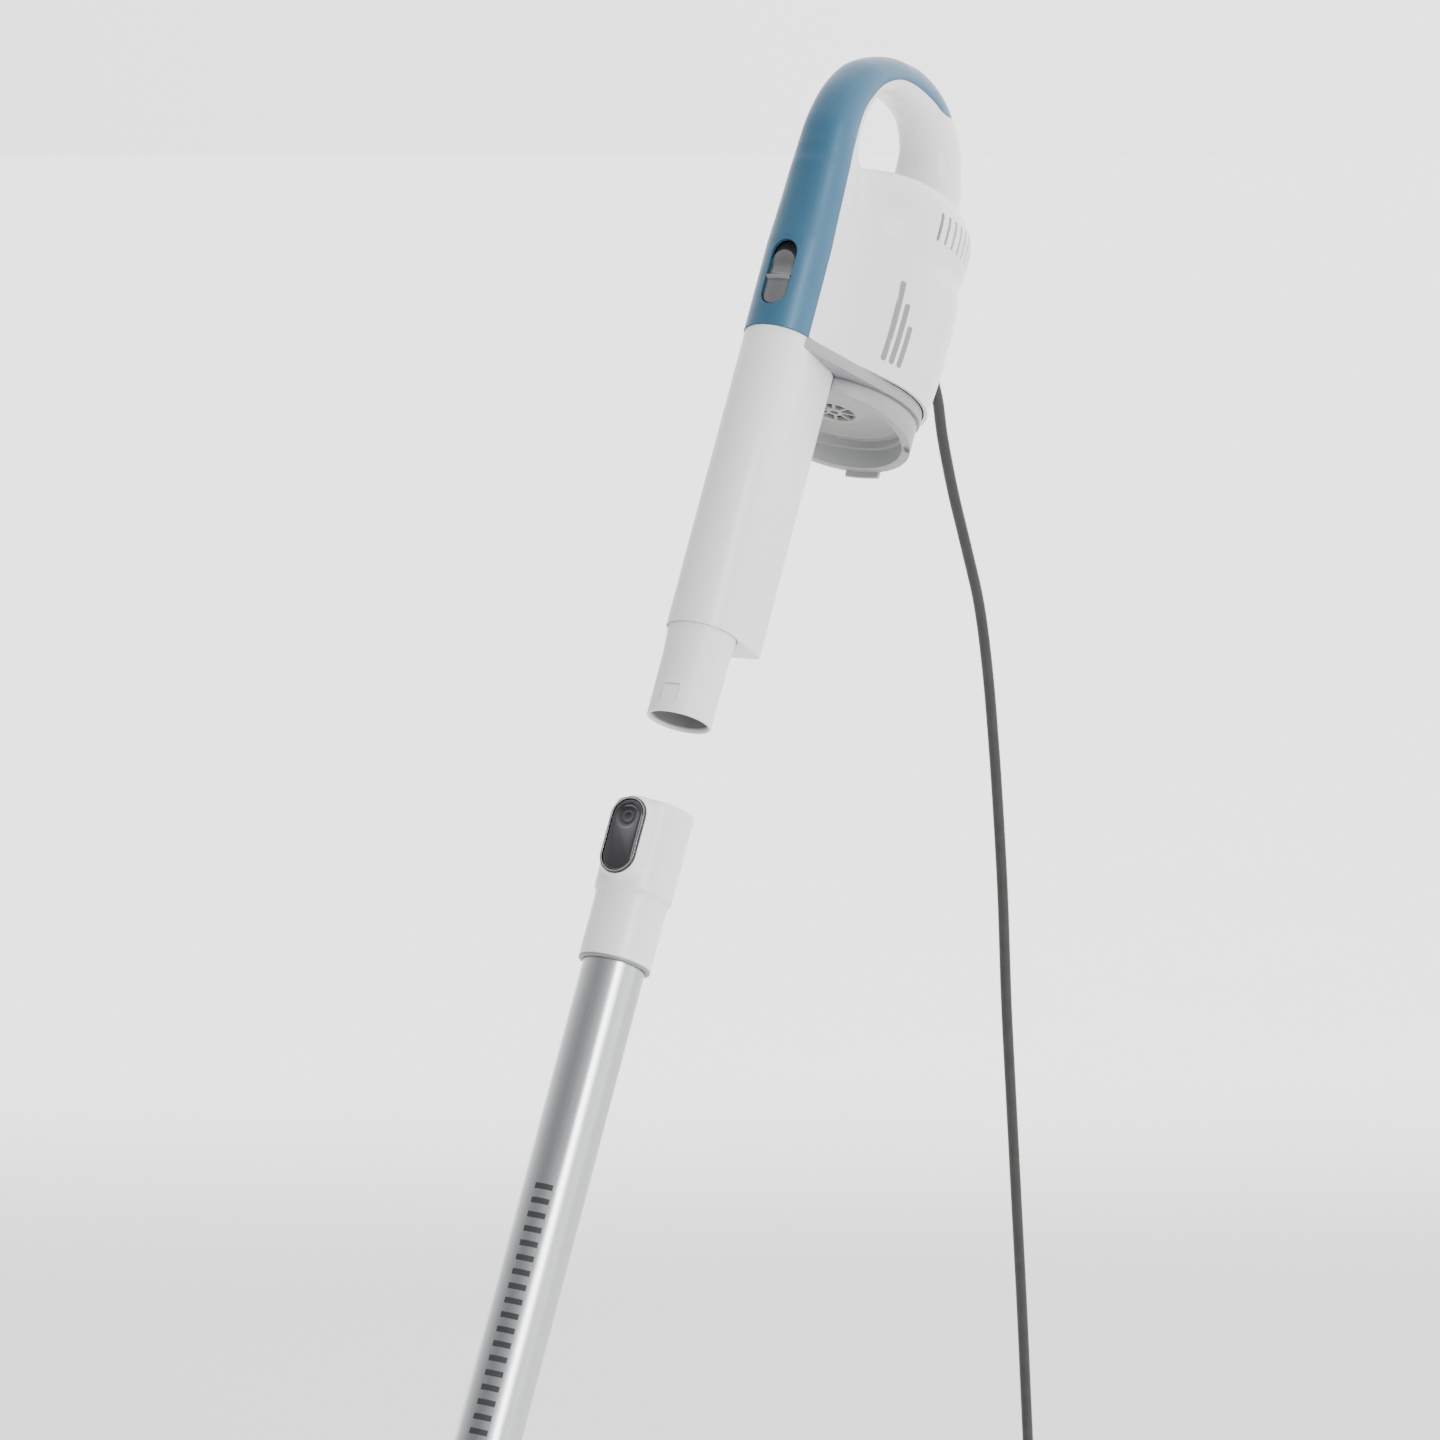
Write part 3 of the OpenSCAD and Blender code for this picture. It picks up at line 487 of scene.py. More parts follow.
def circle(radius, middle=(0, 0), count=64):
    turns = np.linspace(0, 2 * pi, count + 1)[:-1]
    return [(middle[0] + radius * cos(t), middle[1] + radius * sin(t)) for t in turns]


def lifted(z, *profile):
    """Profile points of (radius, height), with the heights measured from z."""
    return [(r, z + h) for r, h in profile]


def box(name, low, high, leaned=True):
    (x0, y0, z0), (x1, y1, z1) = low, high
    return prism(name, [(x0, y0), (x1, y0), (x1, y1), (x0, y1)], z0, z1, "xy", leaned)


# ---- hand unit's body: one smooth field, cut into the blue cover and the two white shells ----

# BARREL and WEB_END hold (height, radius), SEAM holds (x, height), and each row of HANDLE holds an outer and
# an inner point of the loop and its half width.
MOTOR_X = 77
RIM_Z = 234
SPINE_R = 20
SHELL_WALL = 2.2
BARREL = [(224, 50), (234, 50), (238, 50.2), (243, 51.6), (258, 53.8), (278, 55), (292, 54.9), (304, 54.4),
          (312, 52.6), (316, 52.4), (322, 53.5), (329, 54.2), (338, 54), (346, 52.7), (353, 51), (368, 49)]
WEB_END = [(224, 49), (234, 49), (262, 46), (290, 40), (330, 33), (370, 33)]
HANDLE = [(-20, 224, 20, 224, 20), (-20, 270, 20, 270, 20), (-20, 318, 20, 318, 20), (-20, 338, 17, 342, 19),
          (-19.6, 352, 12, 354, 17.6), (-18.3, 370, 10, 365, 16.6), (-12, 390, 12.5, 382, 16),
          (0, 409, 19, 396, 15.6), (14, 421, 27, 402, 15.5), (31, 430, 38, 408, 15.5),
          (48, 435, 50, 411, 15.5), (64, 438, 62, 412, 15.5), (85, 437, 79, 410, 16), (102, 431, 91, 403, 17),
          (116, 420, 98, 394, 18.5), (124, 405, 100, 384, 20.5), (127.5, 388, 100, 373, 23),
          (129, 366, 98, 360, 25.5), (128.5, 344, 94, 344, 28)]
SEAM = [(-5, 226), (-5, 250), (-5, 300), (-5, 340), (-3.5, 359), (-1, 379), (6, 393), (14.5, 404), (23, 411),
        (33, 416.5), (45, 420), (58, 422), (72, 422.5), (85, 421.5), (95, 423.5), (106, 431)]


def smooth_min(a, b, k):
    h = np.maximum(k - np.abs(a - b), 0) / k
    return np.minimum(a, b) - h * h * k / 4


def smooth_max(a, b, k):
    return -smooth_min(-a, -b, k)


def profile_at(profile, z):
    dense = smooth_rows(profile, 8)
    return np.interp(z, dense[:, 0], dense[:, 1])


def web_field(x, y, z):
    """The web between the spine and the barrel: a capsule with uneven ends and a level top."""
    big = profile_at(WEB_END, z)
    small = np.interp(z, [290, 345], [SPINE_R - 2, SPINE_R - 11])
    lean = (small - big) / MOTOR_X
    rise = np.sqrt(1 - lean * lean)
    side = np.abs(y)
    along = -lean * side + rise * x
    body = rise * side + lean * x - small
    body = np.where(along < 0, np.hypot(side, x) - small, body)
    body = np.where(along > rise * MOTOR_X, np.hypot(side, x - MOTOR_X) - big, body)
    return smooth_max(body, z - 352, 8)


def barrel_field(x, y, z):
    return smooth_max(np.hypot(x - MOTOR_X, y) - profile_at(BARREL, z), z - 363.3, 25)


def handle_field(x, y, z):
    """The loop: a rounded section that follows the middle line of its stations."""
    rows = smooth_rows(HANDLE, 8)
    mid = (rows[:, 0:2] + rows[:, 2:4]) / 2
    thick = np.linalg.norm(rows[:, 0:2] - rows[:, 2:4], axis=1) / 2
    best = np.full(np.broadcast(x, z).shape, 1e9)
    offset, depth, width, past = (np.full(best.shape, -1e3) for _ in range(4))
    for i in range(len(mid) - 1):
        a, d = mid[i], mid[i + 1] - mid[i]
        span = float(np.hypot(*d))
        raw = ((x - a[0]) * d[0] + (z - a[1]) * d[1]) / span ** 2
        t = np.clip(raw, 0, 1)
        away = np.hypot(x - a[0] - t * d[0], z - a[1] - t * d[1])
        side = ((x - a[0]) * d[1] - (z - a[1]) * d[0]) / span
        near = away < best
        best = np.where(near, away, best)
        offset = np.where(near, side, offset)
        depth = np.where(near, thick[i] + t * (thick[i + 1] - thick[i]), depth)
        width = np.where(near, rows[i, 4] + t * (rows[i + 1, 4] - rows[i, 4]), width)
        past = np.where(near, (raw - 1) * span if i == len(mid) - 2 else -1e3, past)
    power = 2.15
    ring = (np.abs(offset / depth) ** power + np.abs(y / width) ** power) ** (1 / power)
    return np.maximum((ring - 1) * np.minimum(depth, width), past)


def body_field(x, y, z):
    body = smooth_min(barrel_field(x, y, z), web_field(x, y, z), 14)
    return smooth_min(body, handle_field(x, y, z), 9)


def surface_nets(values, origin, step):
    """Points and four-sided faces where the values on a grid cross zero."""
    inside = values < 0
    cells = tuple(n - 1 for n in values.shape)
    total, count = np.zeros(cells + (3,)), np.zeros(cells)
    crossings = []
    for axis in range(3):
        first = tuple(slice(0, -1) if a == axis else slice(None) for a in range(3))
        second = tuple(slice(1, None) if a == axis else slice(None) for a in range(3))
        where = np.argwhere(inside[first] != inside[second])
        v0 = values[first][tuple(where.T)]
        v1 = values[second][tuple(where.T)]
        place = where.astype(float)
        place[:, axis] += v0 / (v0 - v1)
        b, c = [a for a in range(3) if a != axis]
        around = []
        for shift_b, shift_c in ((0, 0), (-1, 0), (-1, -1), (0, -1)):
            cell = where.copy()
            cell[:, b] += shift_b
            cell[:, c] += shift_c
            around.append(cell)
            np.add.at(total, tuple(cell.T), place)
            np.add.at(count, tuple(cell.T), 1)
        crossings.append((around, v0 < 0, axis))
    number = np.full(cells, -1)
    used = count > 0
    number[used] = np.arange(used.sum())
    points = total[used] / count[used][:, None] * step + np.array(origin)
    faces = []
    for around, outwards, axis in crossings:
        quads = np.stack([number[tuple(cell.T)] for cell in around], axis=1)
        turned = outwards if axis != 1 else ~outwards
        faces.append(np.where(turned[:, None], quads, quads[:, ::-1]))
    return points, np.vstack(faces)


def skin_of(field, low, high, step):
    """The skin where a field is zero, with its points drawn onto it."""
    x, y, z = (np.arange(low[a], high[a] + step, step) for a in range(3))
    values = field(x[:, None, None], y[None, :, None], z[None, None, :])
    points, faces = surface_nets(values, low, step)
    nudge = 0.05
    for _ in range(2):
        here = field(*points.T)
        slope = np.stack([(field(*(points + nudge * axis).T) - here) / nudge for axis in np.eye(3)], axis=1)
        size = np.maximum((slope ** 2).sum(axis=1), 0.1)
        points = points - slope * np.clip(here / size, -step / 2, step / 2)[:, None]
    return points, faces


def add_skin(name, field, low, high, step, leaned=True):
    points, faces = skin_of(field, low, high, step)
    return add_mesh(name, points, faces, leaned)


BODY_LOW = (-24.0, -60.0, 226.0)
BODY_HIGH = (137.0, 60.0, 444.0)


def add_body_blank(name):
    """The whole hollow body: its outer skin, and its inner one turned inside out."""
    def closed(inset):
        return lambda x, y, z: np.maximum(body_field(x, y, z) + inset, 228 - z)
    outer, outer_faces = skin_of(closed(0), BODY_LOW, BODY_HIGH, 1.5)
    inner, inner_faces = skin_of(closed(SHELL_WALL), BODY_LOW, BODY_HIGH, 2.0)
    points = np.vstack([outer, inner])
    faces = [tuple(f) for f in outer_faces] + [tuple(f[::-1]) for f in inner_faces + len(outer)]
    return add_mesh(name, points, faces)


def seam_region(name, gap):
    """What lies in front of the seam, with its edge moved forwards by gap."""
    line = smooth_rows(SEAM, 6)
    along = np.gradient(line, axis=0)
    across = np.stack([-along[:, 1], along[:, 0]], axis=1)
    across /= np.linalg.norm(across, axis=1)[:, None]
    edge = line + across * gap
    outline = [(-40, 226)] + [tuple(p) for p in edge] + [(edge[-1][0] + 8, 452), (-40, 452)]
    return prism(name, outline, -60, 60, "xz")


def copy_of(obj, name):
    other = obj.copy()
    other.data = obj.data.copy()
    other.name = name
    scene.collection.objects.link(other)
    return other


def side_box(side, gap):
    y = sorted((side * gap, side * 90))
    return box("half", (-60, y[0], 220), (160, y[1], 460))


def merged(name, objects):
    """One mesh object of several that don't touch."""
    b = bmesh.new()
    for o in objects:
        b.from_mesh(o.data)
    mesh = bpy.data.meshes.new(name)
    b.to_mesh(mesh)
    b.free()
    for o in objects:
        bpy.data.objects.remove(o)
    return link_object(name, mesh)


VENT_COUNT = 7
VENT_START = 111.5
VENT_STEP = 6.6


def vent_cutters(side):
    slots = []
    for k in range(VENT_COUNT):
        slot = prism("slot", stadium(2.2, 18, (0, 334.5), 8), 46, 60, "yz", leaned=False)
        put(slot, (MOTOR_X, 0, 0), side * (VENT_START - k * VENT_STEP))
        slots.append(slot)
    return merged("vents", slots)


SWITCH_MIDDLE = 267


def add_body():
    rim = box("rim", (-60, -90, 200), (160, 90, RIM_Z + 0.15))
    whole = boolean(add_body_blank("body"), [rim])
    cover = copy_of(whole, "spine_cover_skin")
    boolean(cover, [seam_region("front", 0.12)], "INTERSECT")
    slot = prism("slot", stadium(16.4, 40.4, (0, SWITCH_MIDDLE), 24), -40, -8, "yz")
    boolean(cover, [slot])
    settle(cover, BLUE, "hand_unit", "blue_shell", "spine_cover")
    boolean(whole, [seam_region("front", -0.12)])
    for side, name in ((-1, "left"), (1, "right")):
        shell = copy_of(whole, "body_shell_" + name + "_skin")
        boolean(shell, [side_box(side, 0.05)], "INTERSECT")
        hole = prism("hole", stadium(15.2, 15.3, (0, 295), 16), 110, 140, "yz")
        boolean(shell, [vent_cutters(side), hole])
        settle(shell, WHITE, "hand_unit", "white_shell", "body_shell_" + name)
    bpy.data.objects.remove(whole)


add_body()


# ---- hand unit: duct, inlet pipe, seat and small parts ----

DUCT_R = 20.9
DUCT_BACK = 35
DUCT_FLOOR = 53
PIPE_R = 18.5
GROOVE_Z = 227


def duct_outline(inset):
    r = DUCT_R - inset
    front = [(r * cos(t), r * sin(t)) for t in (pi * (0.5 + k / 48) for k in range(49))]
    back = fillet([(0, -r, 0), (DUCT_BACK - inset, -r, 4.5 - inset), (DUCT_BACK - inset, r, 4.5 - inset),
                   (0, r, 0)], 8)
    return front + back[1:-1]


def add_duct():
    duct = prism("duct_skin", duct_outline(0), DUCT_FLOOR, 236)
    hollow = prism("hollow", duct_outline(2), DUCT_FLOOR + 2, 240)
    bore = prism("bore", circle(16.6), 40, 60)
    top = prism("top", [(-40, 233.9), (-4, 233.9), (6, 232.4), (20, 229.6), (DUCT_BACK, 225.4),
                        (60, 225.4), (60, 260), (-40, 260)], -40, 40, "xz")
    port = prism("port", fillet([(-11, 176, 2), (11, 176, 2), (11, 206, 2), (-11, 206, 2)], 4), 25, 50, "yz")
    joint = revolve("joint", [(19.2, 50), (20.3, 50), (20.3, 54.7), (19.2, 54.7)])
    boolean(duct, [top, hollow, bore, port, joint])
    bevelled(duct, 0.35, 2, 50)
    settle(duct, WHITE, "hand_unit", "white_shell", "duct", angle=40)


def add_inlet_pipe():
    profile = [(PIPE_R - 0.4, 0), (PIPE_R, 0.5), (PIPE_R, 36), (19.6, 53), (19.6, 53.4), (16.4, 53.4),
               (16.5, 2), (16.9, 0.4), (17.3, 0)]
    pipe = revolve("inlet_pipe_skin", profile)
    outline = [(-30, 16.6), (-17.7, 16.6), (-17.9, 14.8), (-18.7, 5.6), (-30, 5.6)]
    pocket = prism("pocket", outline, -5, 5, "xz")
    grooves = [box("groove", (-30, -5.4, 15.8), (-17.1, 5.4, 16.7))]
    grooves += [box("groove", (-30, y, 6), (-17.1, y + 0.8, 16.7)) for y in (-5.4, 4.6)]
    boolean(pipe, [pocket] + grooves)
    settle(pipe, PIPE_WHITE, "hand_unit", "white_shell", "inlet_pipe")
    # A grey sleeve inside the white pipe: painted shade that darkens the pipe's inside.
    painted_shade_sleeve = revolve("inlet_pipe_painted_shade", [(15.9, 2.4), (16.44, 1.8), (16.44, 53), (15.9, 53)])
    settle(painted_shade_sleeve, GREY_PRINT, "hand_unit", "grey_plastic")


def teardrop(front_r, back_r, steps=96):
    """Outline around a small circle at the spine and a big one at the motor."""
    turn = asin((back_r - front_r) / MOTOR_X)
    half = pi / 2 + turn
    big = [(MOTOR_X + back_r * cos(t), back_r * sin(t)) for t in np.linspace(-half, half, steps)]
    small = [(front_r * cos(t), front_r * sin(t)) for t in np.linspace(half, 2 * pi - half, 32)]
    return big + small


def under_skirt():
    """What lies under the slanted lower edge of the seat's skirt."""
    slope = tan(radians(7.5))
    x = DUCT_BACK + 2.4
    outline = [(x - 30, 218 + 30 * slope), (x + 120, 218 - 120 * slope), (x + 120, 150), (x - 30, 150)]
    return prism("under", outline, -80, 80, "xz")


def add_seat_ring():
    """The grey flange under the body, and the skirt with its key hole that the dust cup plugs into."""
    flange = prism("seat_ring_flange", teardrop(DUCT_R, 50), GROOVE_Z + 0.3, RIM_Z - 0.05)
    behind = prism("behind", duct_outline(-0.1), 200, 250)
    boolean(flange, [behind, prism("hole", circle(38, (MOTOR_X, 0), 96), 200, 250)])
    bevelled(flange, 0.5, 3, 50)
    settle(flange, GREY, "hand_unit", "grey_plastic", "seat_ring", angle=40)

    outer = [(47.2, 229), (47.2, 226.4), (48.5, 225.9), (48.5, 196), (43.4, 196), (43.4, 217),
             (43.2, 218.5), (41, 218.8), (41, 223), (38, 223), (38, 229)]
    skirt = revolve("seat_ring_skirt", outer, (MOTOR_X, 0), 160)
    clip = prism("clip", duct_outline(-0.4), 190, 240)
    key = prism("key", stadium(3.4, 8.5), 195, 212, leaned=False)
    put(key, (MOTOR_X, 0, 0), -66, "Z", (46, 0, 0))
    boolean(skirt, [under_skirt(), clip, key])
    bevelled(skirt, 0.4, 2, 50)
    settle(skirt, GREY, "hand_unit", "grey_plastic", "seat_ring", angle=40)


def add_motor_guard():
    """The dish above the seat, with its round grille of eight openings about a hub."""
    dish = [(39.2, 224.6), (39.2, 223.4), (38.2, 223.2), (37.6, 223.7), (36, 224.1), (30, 224.4), (17, 224),
            (15.4, 223.2), (14, 222.9), (13, 223.2), (12.5, 224), (12.5, 226), (30, 226), (38, 225.6),
            (38.6, 225.4)]
    guard = revolve("motor_guard_dish", dish, (MOTOR_X, 0), 128)
    settle(guard, DISH, "hand_unit", "grey_plastic", "motor_guard")
    plate = revolve("motor_guard_grille", [(2.6, 225.6), (2.6, 223.3), (4.4, 223.3), (4.8, 223.8),
                                           (12.7, 223.8), (12.7, 225.6)], (MOTOR_X, 0), 96)
    opening = fillet([(4.9, -1.3, 0.5), (12.2, -4.2, 1), (12.2, 4.2, 1), (4.9, 1.3, 0.5)], 3)
    holes = []
    for k in range(8):
        holes.append(prism("hole", opening, 220, 230, leaned=False))
        put(holes[-1], (MOTOR_X, 0, 0), 45 * k)
    boolean(plate, [merged("holes", holes)])
    settle(plate, DISH, "hand_unit", "grey_plastic", "motor_guard")
    # A dark disc just behind the grille: painted shade seen through its openings.
    disc = lifted(225.7, (0.4, 0), (12.9, 0), (12.9, 0.6), (0.4, 0.6))
    grille_shade_disc = revolve("motor_guard_painted_shade", disc, (MOTOR_X, 0))
    settle(grille_shade_disc, DARK, "hand_unit", "dark_plastic")


def add_slider():
    """Power slider: a curved plate with a cross ridge, dished above it."""
    heights = np.linspace(246, 284, 77)
    ridge = 1.7 * np.exp(-((heights - 264.6) / 1.15) ** 2)
    dish = -0.8 * np.exp(-((heights - 271.5) / 4.5) ** 2)
    face = SPINE_R + 0.2 + ridge + dish
    profile = [(float(r), float(h)) for r, h in zip(face, heights)] + [(16.5, 284), (16.5, 246)]
    slider = revolve("power_slider", profile, segments=160)
    boolean(slider, [prism("outline", stadium(15.2, 33.4, (0, 264.3), 24), -30, -10, "yz")], "INTERSECT")
    bevelled(slider, 0.35, 3, 55)
    settle(slider, SILVER, "power_switch", "silver_plastic", "switch_slider", angle=40)
    well = prism("switch_well", stadium(17.4, 41.4, (0, SWITCH_MIDDLE), 20), -15.4, -14.4, "yz")
    settle(well, DARK, "hand_unit", "dark_plastic", "switch_housing")


def add_strain_relief():
    profile = [(9, 129.4), (9, 131.6), (8.4, 132.6), (7.6, 133)]
    for k in range(5):
        x = 134.5 + 4.3 * k
        r = 7.5 - 0.5 * k
        profile += [(r, x), (r, x + 2.2), (r - 1.3, x + 2.5), (r - 1.3, x + 4)]
    profile += [(5, 157), (4.6, 158), (3.55, 158), (3.55, 128), (9, 128)]
    relief = revolve("strain_relief_sleeve", profile, leaned=False, segments=48)
    put(relief, (0, 0, 295), 90, "Y")
    return settle(relief, JACKET, "hand_unit", "cord_jacket", "strain_relief", angle=40)


def add_side_marks():
    """A plain mark of three bars, without letters, printed on each side of the body."""
    for side in (-1, 1):
        bars = []
        for k, length in enumerate((50, 38, 26)):
            outline = stadium(3.1, length, (43.4 + 4.9 * k, 243 + length / 2), 8)
            dense = np.array([p for a, b in zip(outline, outline[1:] + outline[:1])
                              for p in np.linspace(a, b, 5)[:-1]])
            middle = dense.mean(axis=0)
            rings = [middle + (dense - middle) * t for t in (1, 0.8, 0.6, 0.4, 0.2)]
            flat = np.vstack(rings + [middle[None, :]])
            depth = np.full(len(flat), 62.0)
            for _ in range(40):
                depth -= body_field(flat[:, 0], depth, flat[:, 1])
            points = [(x, side * (y + lift), z) for lift in (0.06, -0.4) for (x, z), y in zip(flat, depth)]
            n, m = len(dense), len(flat)
            faces = ring_faces(4, n) + [(4 * n + i, 4 * n + (i + 1) % n, m - 1) for i in range(n)]
            faces += [tuple(j + m for j in f[::-1]) for f in faces]
            faces += [(i, i + m, (i + 1) % n + m, (i + 1) % n) for i in range(n)]
            bar = add_mesh("bar", points, faces)
            tidy(bar)
            bars.append(bar)
        mark = merged("side_mark_" + ("left" if side < 0 else "right"), bars)
        settle(mark, GREY_PRINT, "hand_unit", "grey_plastic")


add_duct()
add_inlet_pipe()
add_seat_ring()
add_motor_guard()
add_slider()
relief = add_strain_relief()
add_side_marks()

# ---- wand: collar, button, tube and its foot ----

COLLAR_TOP = -52
COLLAR_STEP = -104
COLLAR_END = -143
WAND_FOOT = -640
TUBE_TOP = -106
TUBE_R = 17.5
BUTTON_MID = COLLAR_TOP - 24


def collar_field(x, y, z):
    """Collar with a soft step, and the raised bed of the release button."""
    ease_in = 0.5 - 0.5 * np.tanh((z - COLLAR_STEP) / 1.6)
    body = np.hypot(x, y) - (22 - 1.7 * ease_in)
    body = smooth_max(body, z - COLLAR_TOP, 1.6)
    body = smooth_max(body, COLLAR_END - z, 1.2)
    reach = np.maximum(np.abs(z - BUTTON_MID) - 11.5, 0)
    bed = np.hypot(y, reach) - 12
    bed = smooth_max(bed, -25.6 - x, 2.5)
    bed = np.maximum(bed, x + 10)
    return smooth_min(body, bed, 3)


def add_collar():
    collar = add_skin("wand_collar_skin", collar_field, (-28, -24, -145), (24, 24, -50), 0.9)
    bore = revolve("bore", [(0, TUBE_TOP), (18.9, TUBE_TOP), (18.9, COLLAR_TOP - 23), (20.1, COLLAR_TOP + 1),
                            (0, COLLAR_TOP + 1)])
    seat = revolve("seat", lifted(-1, (0, COLLAR_END), (17.7, COLLAR_END), (17.7, TUBE_TOP), (0, TUBE_TOP)))
    bed = prism("bed", stadium(22.3, 44.7, (0, BUTTON_MID), 24), -40, -24, "yz")
    well = prism("well", stadium(18.9, 41.9, (0, BUTTON_MID), 24), -40, -20.8, "yz")
    boolean(collar, [bore, seat, bed, well])
    settle(collar, WHITE, "wand", "white_shell", "wand_collar", angle=40)

    lip = revolve("collar_lip", lifted(COLLAR_END, (20.2, 0.6), (20.2, -0.5), (19.7, -0.9), (17.9, -0.9),
                                       (17.9, 0.6)))
    settle(lip, GREY_PRINT, "wand", "grey_plastic", angle=40)

    # A dark ring in the groove round the bezel: painted shade in the gap.
    gap_shade_ring = button_ring("bezel_gap_shade", 22.2, 21.1, -26.2, -24.1)
    settle(gap_shade_ring, DARK, "wand", "dark_plastic", angle=50)
    bezel = button_ring("bezel_ring", 21, 19.4, -26.7, -24)
    bevelled(bezel, 0.5, 4, 50)
    settle(bezel, CHROME, "wand", "bright_trim", "button_bezel", angle=50)


def button_ring(name, width, hole, front, back):
    """A ring round the release button, as wide as given, about a hole of the same form."""
    ring = prism(name, stadium(width, width + 22.4, (0, BUTTON_MID), 32), front, back, "yz")
    return boolean(ring, [prism("inside", stadium(hole, hole + 22.4, (0, BUTTON_MID), 32), -40, 0, "yz")])


def add_button():
    """Smoked release button with a round finger dish and a ring inside it."""
    button = prism("release_button_skin", stadium(18.2, 40.8, (0, BUTTON_MID), 32), -26.5, -23.6, "yz")
    bevelled(button, 0.8, 4, 50)
    hollow = [(0, 0), (7.2, 0), (6.6, -0.45), (5.4, -0.95), (3.6, -1.35), (2.9, -1.1), (2.2, -1.4),
              (0, -1.55)]
    dish = revolve("dish", hollow, segments=64, leaned=False)
    put(dish, (-26.5, 0, BUTTON_MID + 10.5), -90, "Y", (0, 0, 0.02))
    boolean(button, [dish])
    lugs = [box("lug", (-23.7, s - 1.6, -80.4), (-20, s + 1.6, -75.6)) for s in (-5, 5)]
    pawl = box("pawl", (-23.7, -4.2, -95.4), (-19, 4.2, -88))
    boolean(button, [pawl] + lugs, "UNION")
    settle(button, SMOKE, "wand_button", "smoke_gloss", "release_button", angle=40)


def curved_bar(low, high):
    """A printed bar on the front of the tube, turned a little towards the camera."""
    turns = [pi + 0.20 + 0.30 * (k / 5 - 1) for k in range(11)]
    outline = [(r * cos(t), r * sin(t))
               for r, ts in ((TUBE_R + 0.06, turns), (TUBE_R - 0.3, turns[::-1])) for t in ts]
    return prism("bar", outline, low, high)


def add_tube():
    """The wand's tube, with a row of dashes and one longer bar printed on it."""
    wall = TUBE_R - 1.1
    foot = WAND_FOOT + 6
    profile = [(wall, foot), (TUBE_R - 0.3, foot), (TUBE_R, foot + 0.4), (TUBE_R, TUBE_TOP - 0.4),
               (TUBE_R - 0.3, TUBE_TOP), (wall, TUBE_TOP)]
    tube_skin = revolve("wand_tube_skin", profile, segments=160)
    settle(tube_skin, TUBE, "wand", "satin_tube", "wand_tube")
    bars = [curved_bar(z, z + 3.2) for z in range(-420, -270, 8)] + [curved_bar(-456, -432)]
    settle(merged("tube_mark", bars), DARK, "wand", "dark_plastic")


def add_foot_collar():
    profile = lifted(WAND_FOOT, (19, 0), (20.8, 0), (21.6, 1), (21.6, 30), (21, 32), (20, 42), (19.2, 44),
                     (17.7, 44), (17.7, 6), (16.4, 6), (16.4, 0))
    foot = revolve("foot_collar_skin", profile)
    bevelled(foot, 0.5, 3, 25)
    settle(foot, WHITE, "wand", "white_shell", "foot_collar", angle=40)


add_collar()
add_button()
add_tube()
add_foot_collar()

# ---- neck, floor head and its wheels ----

PIVOT_X = -597.4
HEAD_FRONT = 70
HEAD_REAR = 38
HALF_HEAD = 115
FLOOR = -982
NECK_PIVOT = -703
WHEEL_BACK = 25
WHEEL_SIDE = 85


def pivot_spot(x, y=0, z=0):
    """A point of the row's frame, measured from the floor below the neck's pivot."""
    return (PIVOT_X + x, y, FLOOR + z)


def add_neck():
    """A ribbed stem on a cross barrel with two pins, and the flange that turns in the wand's foot."""
    z = NECK_PIVOT
    stem = revolve("neck_stem", lifted(z, (13.6, 8), (17, 8), (16.5, 18), (16.5, 40), (16.9, 43), (19.4, 52),
                                       (20, 54.9), (13.6, 54.9)), segments=96)
    barrel = prism("neck_elbow_skin", circle(17, (0, z), 96), -23, 23, "xz")
    boolean(barrel, [stem, prism("pins", circle(4, (0, z), 48), -29, 29, "xz")], "UNION")
    cuts = [revolve("ring", lifted(z + h, (15.7, 0), (20, 0), (20, 1.6), (15.7, 1.6)), segments=96)
            for h in (23, 28, 33, 38)]
    cuts.append(revolve("air", lifted(z, (0, 0), (13.6, 0), (13.6, 60), (0, 60)), segments=96))
    cuts.append(prism("hollow", circle(14, (0, z)), -20, 20, "xz"))
    cuts.append(box("window", (-18, -14, z - 30), (6, 14, z)))
    boolean(barrel, cuts)
    bevelled(barrel, 0.5, 3, 45)
    settle(barrel, DARK, "neck", "dark_plastic", "neck_elbow", angle=40)
    flange = revolve("neck_pipe_skin", lifted(WAND_FOOT, (13.6, -8), (20.2, -8), (21, -7.2), (21, -1.2),
                                              (20.2, -0.4), (16.1, -0.4), (16.1, 35), (15.2, 36), (13.6, 36)))
    settle(flange, GREY, "neck", "grey_plastic", "neck_pipe", angle=40)


def cover_field(x, y, z):
    """A low rounded slab that swells to a hump over the neck's pivot."""
    px, pz = x - PIVOT_X, z - FLOOR
    corner = 16
    qx = np.abs(px - (HEAD_REAR - HEAD_FRONT) / 2) - ((HEAD_FRONT + HEAD_REAR) / 2 - corner)
    qy = np.abs(y) - (HALF_HEAD - corner)
    edge = np.hypot(np.maximum(qx, 0), np.maximum(qy, 0)) + np.minimum(np.maximum(qx, qy), 0) - corner
    crown = 15.5 + 6.3 * np.exp(-((px + 42) / 26) ** 2) * (1 - (np.abs(y) / 150) ** 2)
    hump = 12.5 * np.exp(-(y / 44) ** 4) * np.exp(-((px - 2) / 30) ** 4)
    arches = 6 * np.exp(-((px - WHEEL_BACK) / 15) ** 4) * np.exp(-((np.abs(y) - WHEEL_SIDE) / 14) ** 4)
    top = (pz - crown - hump - arches) * 0.9
    return smooth_max(edge, top, 9)


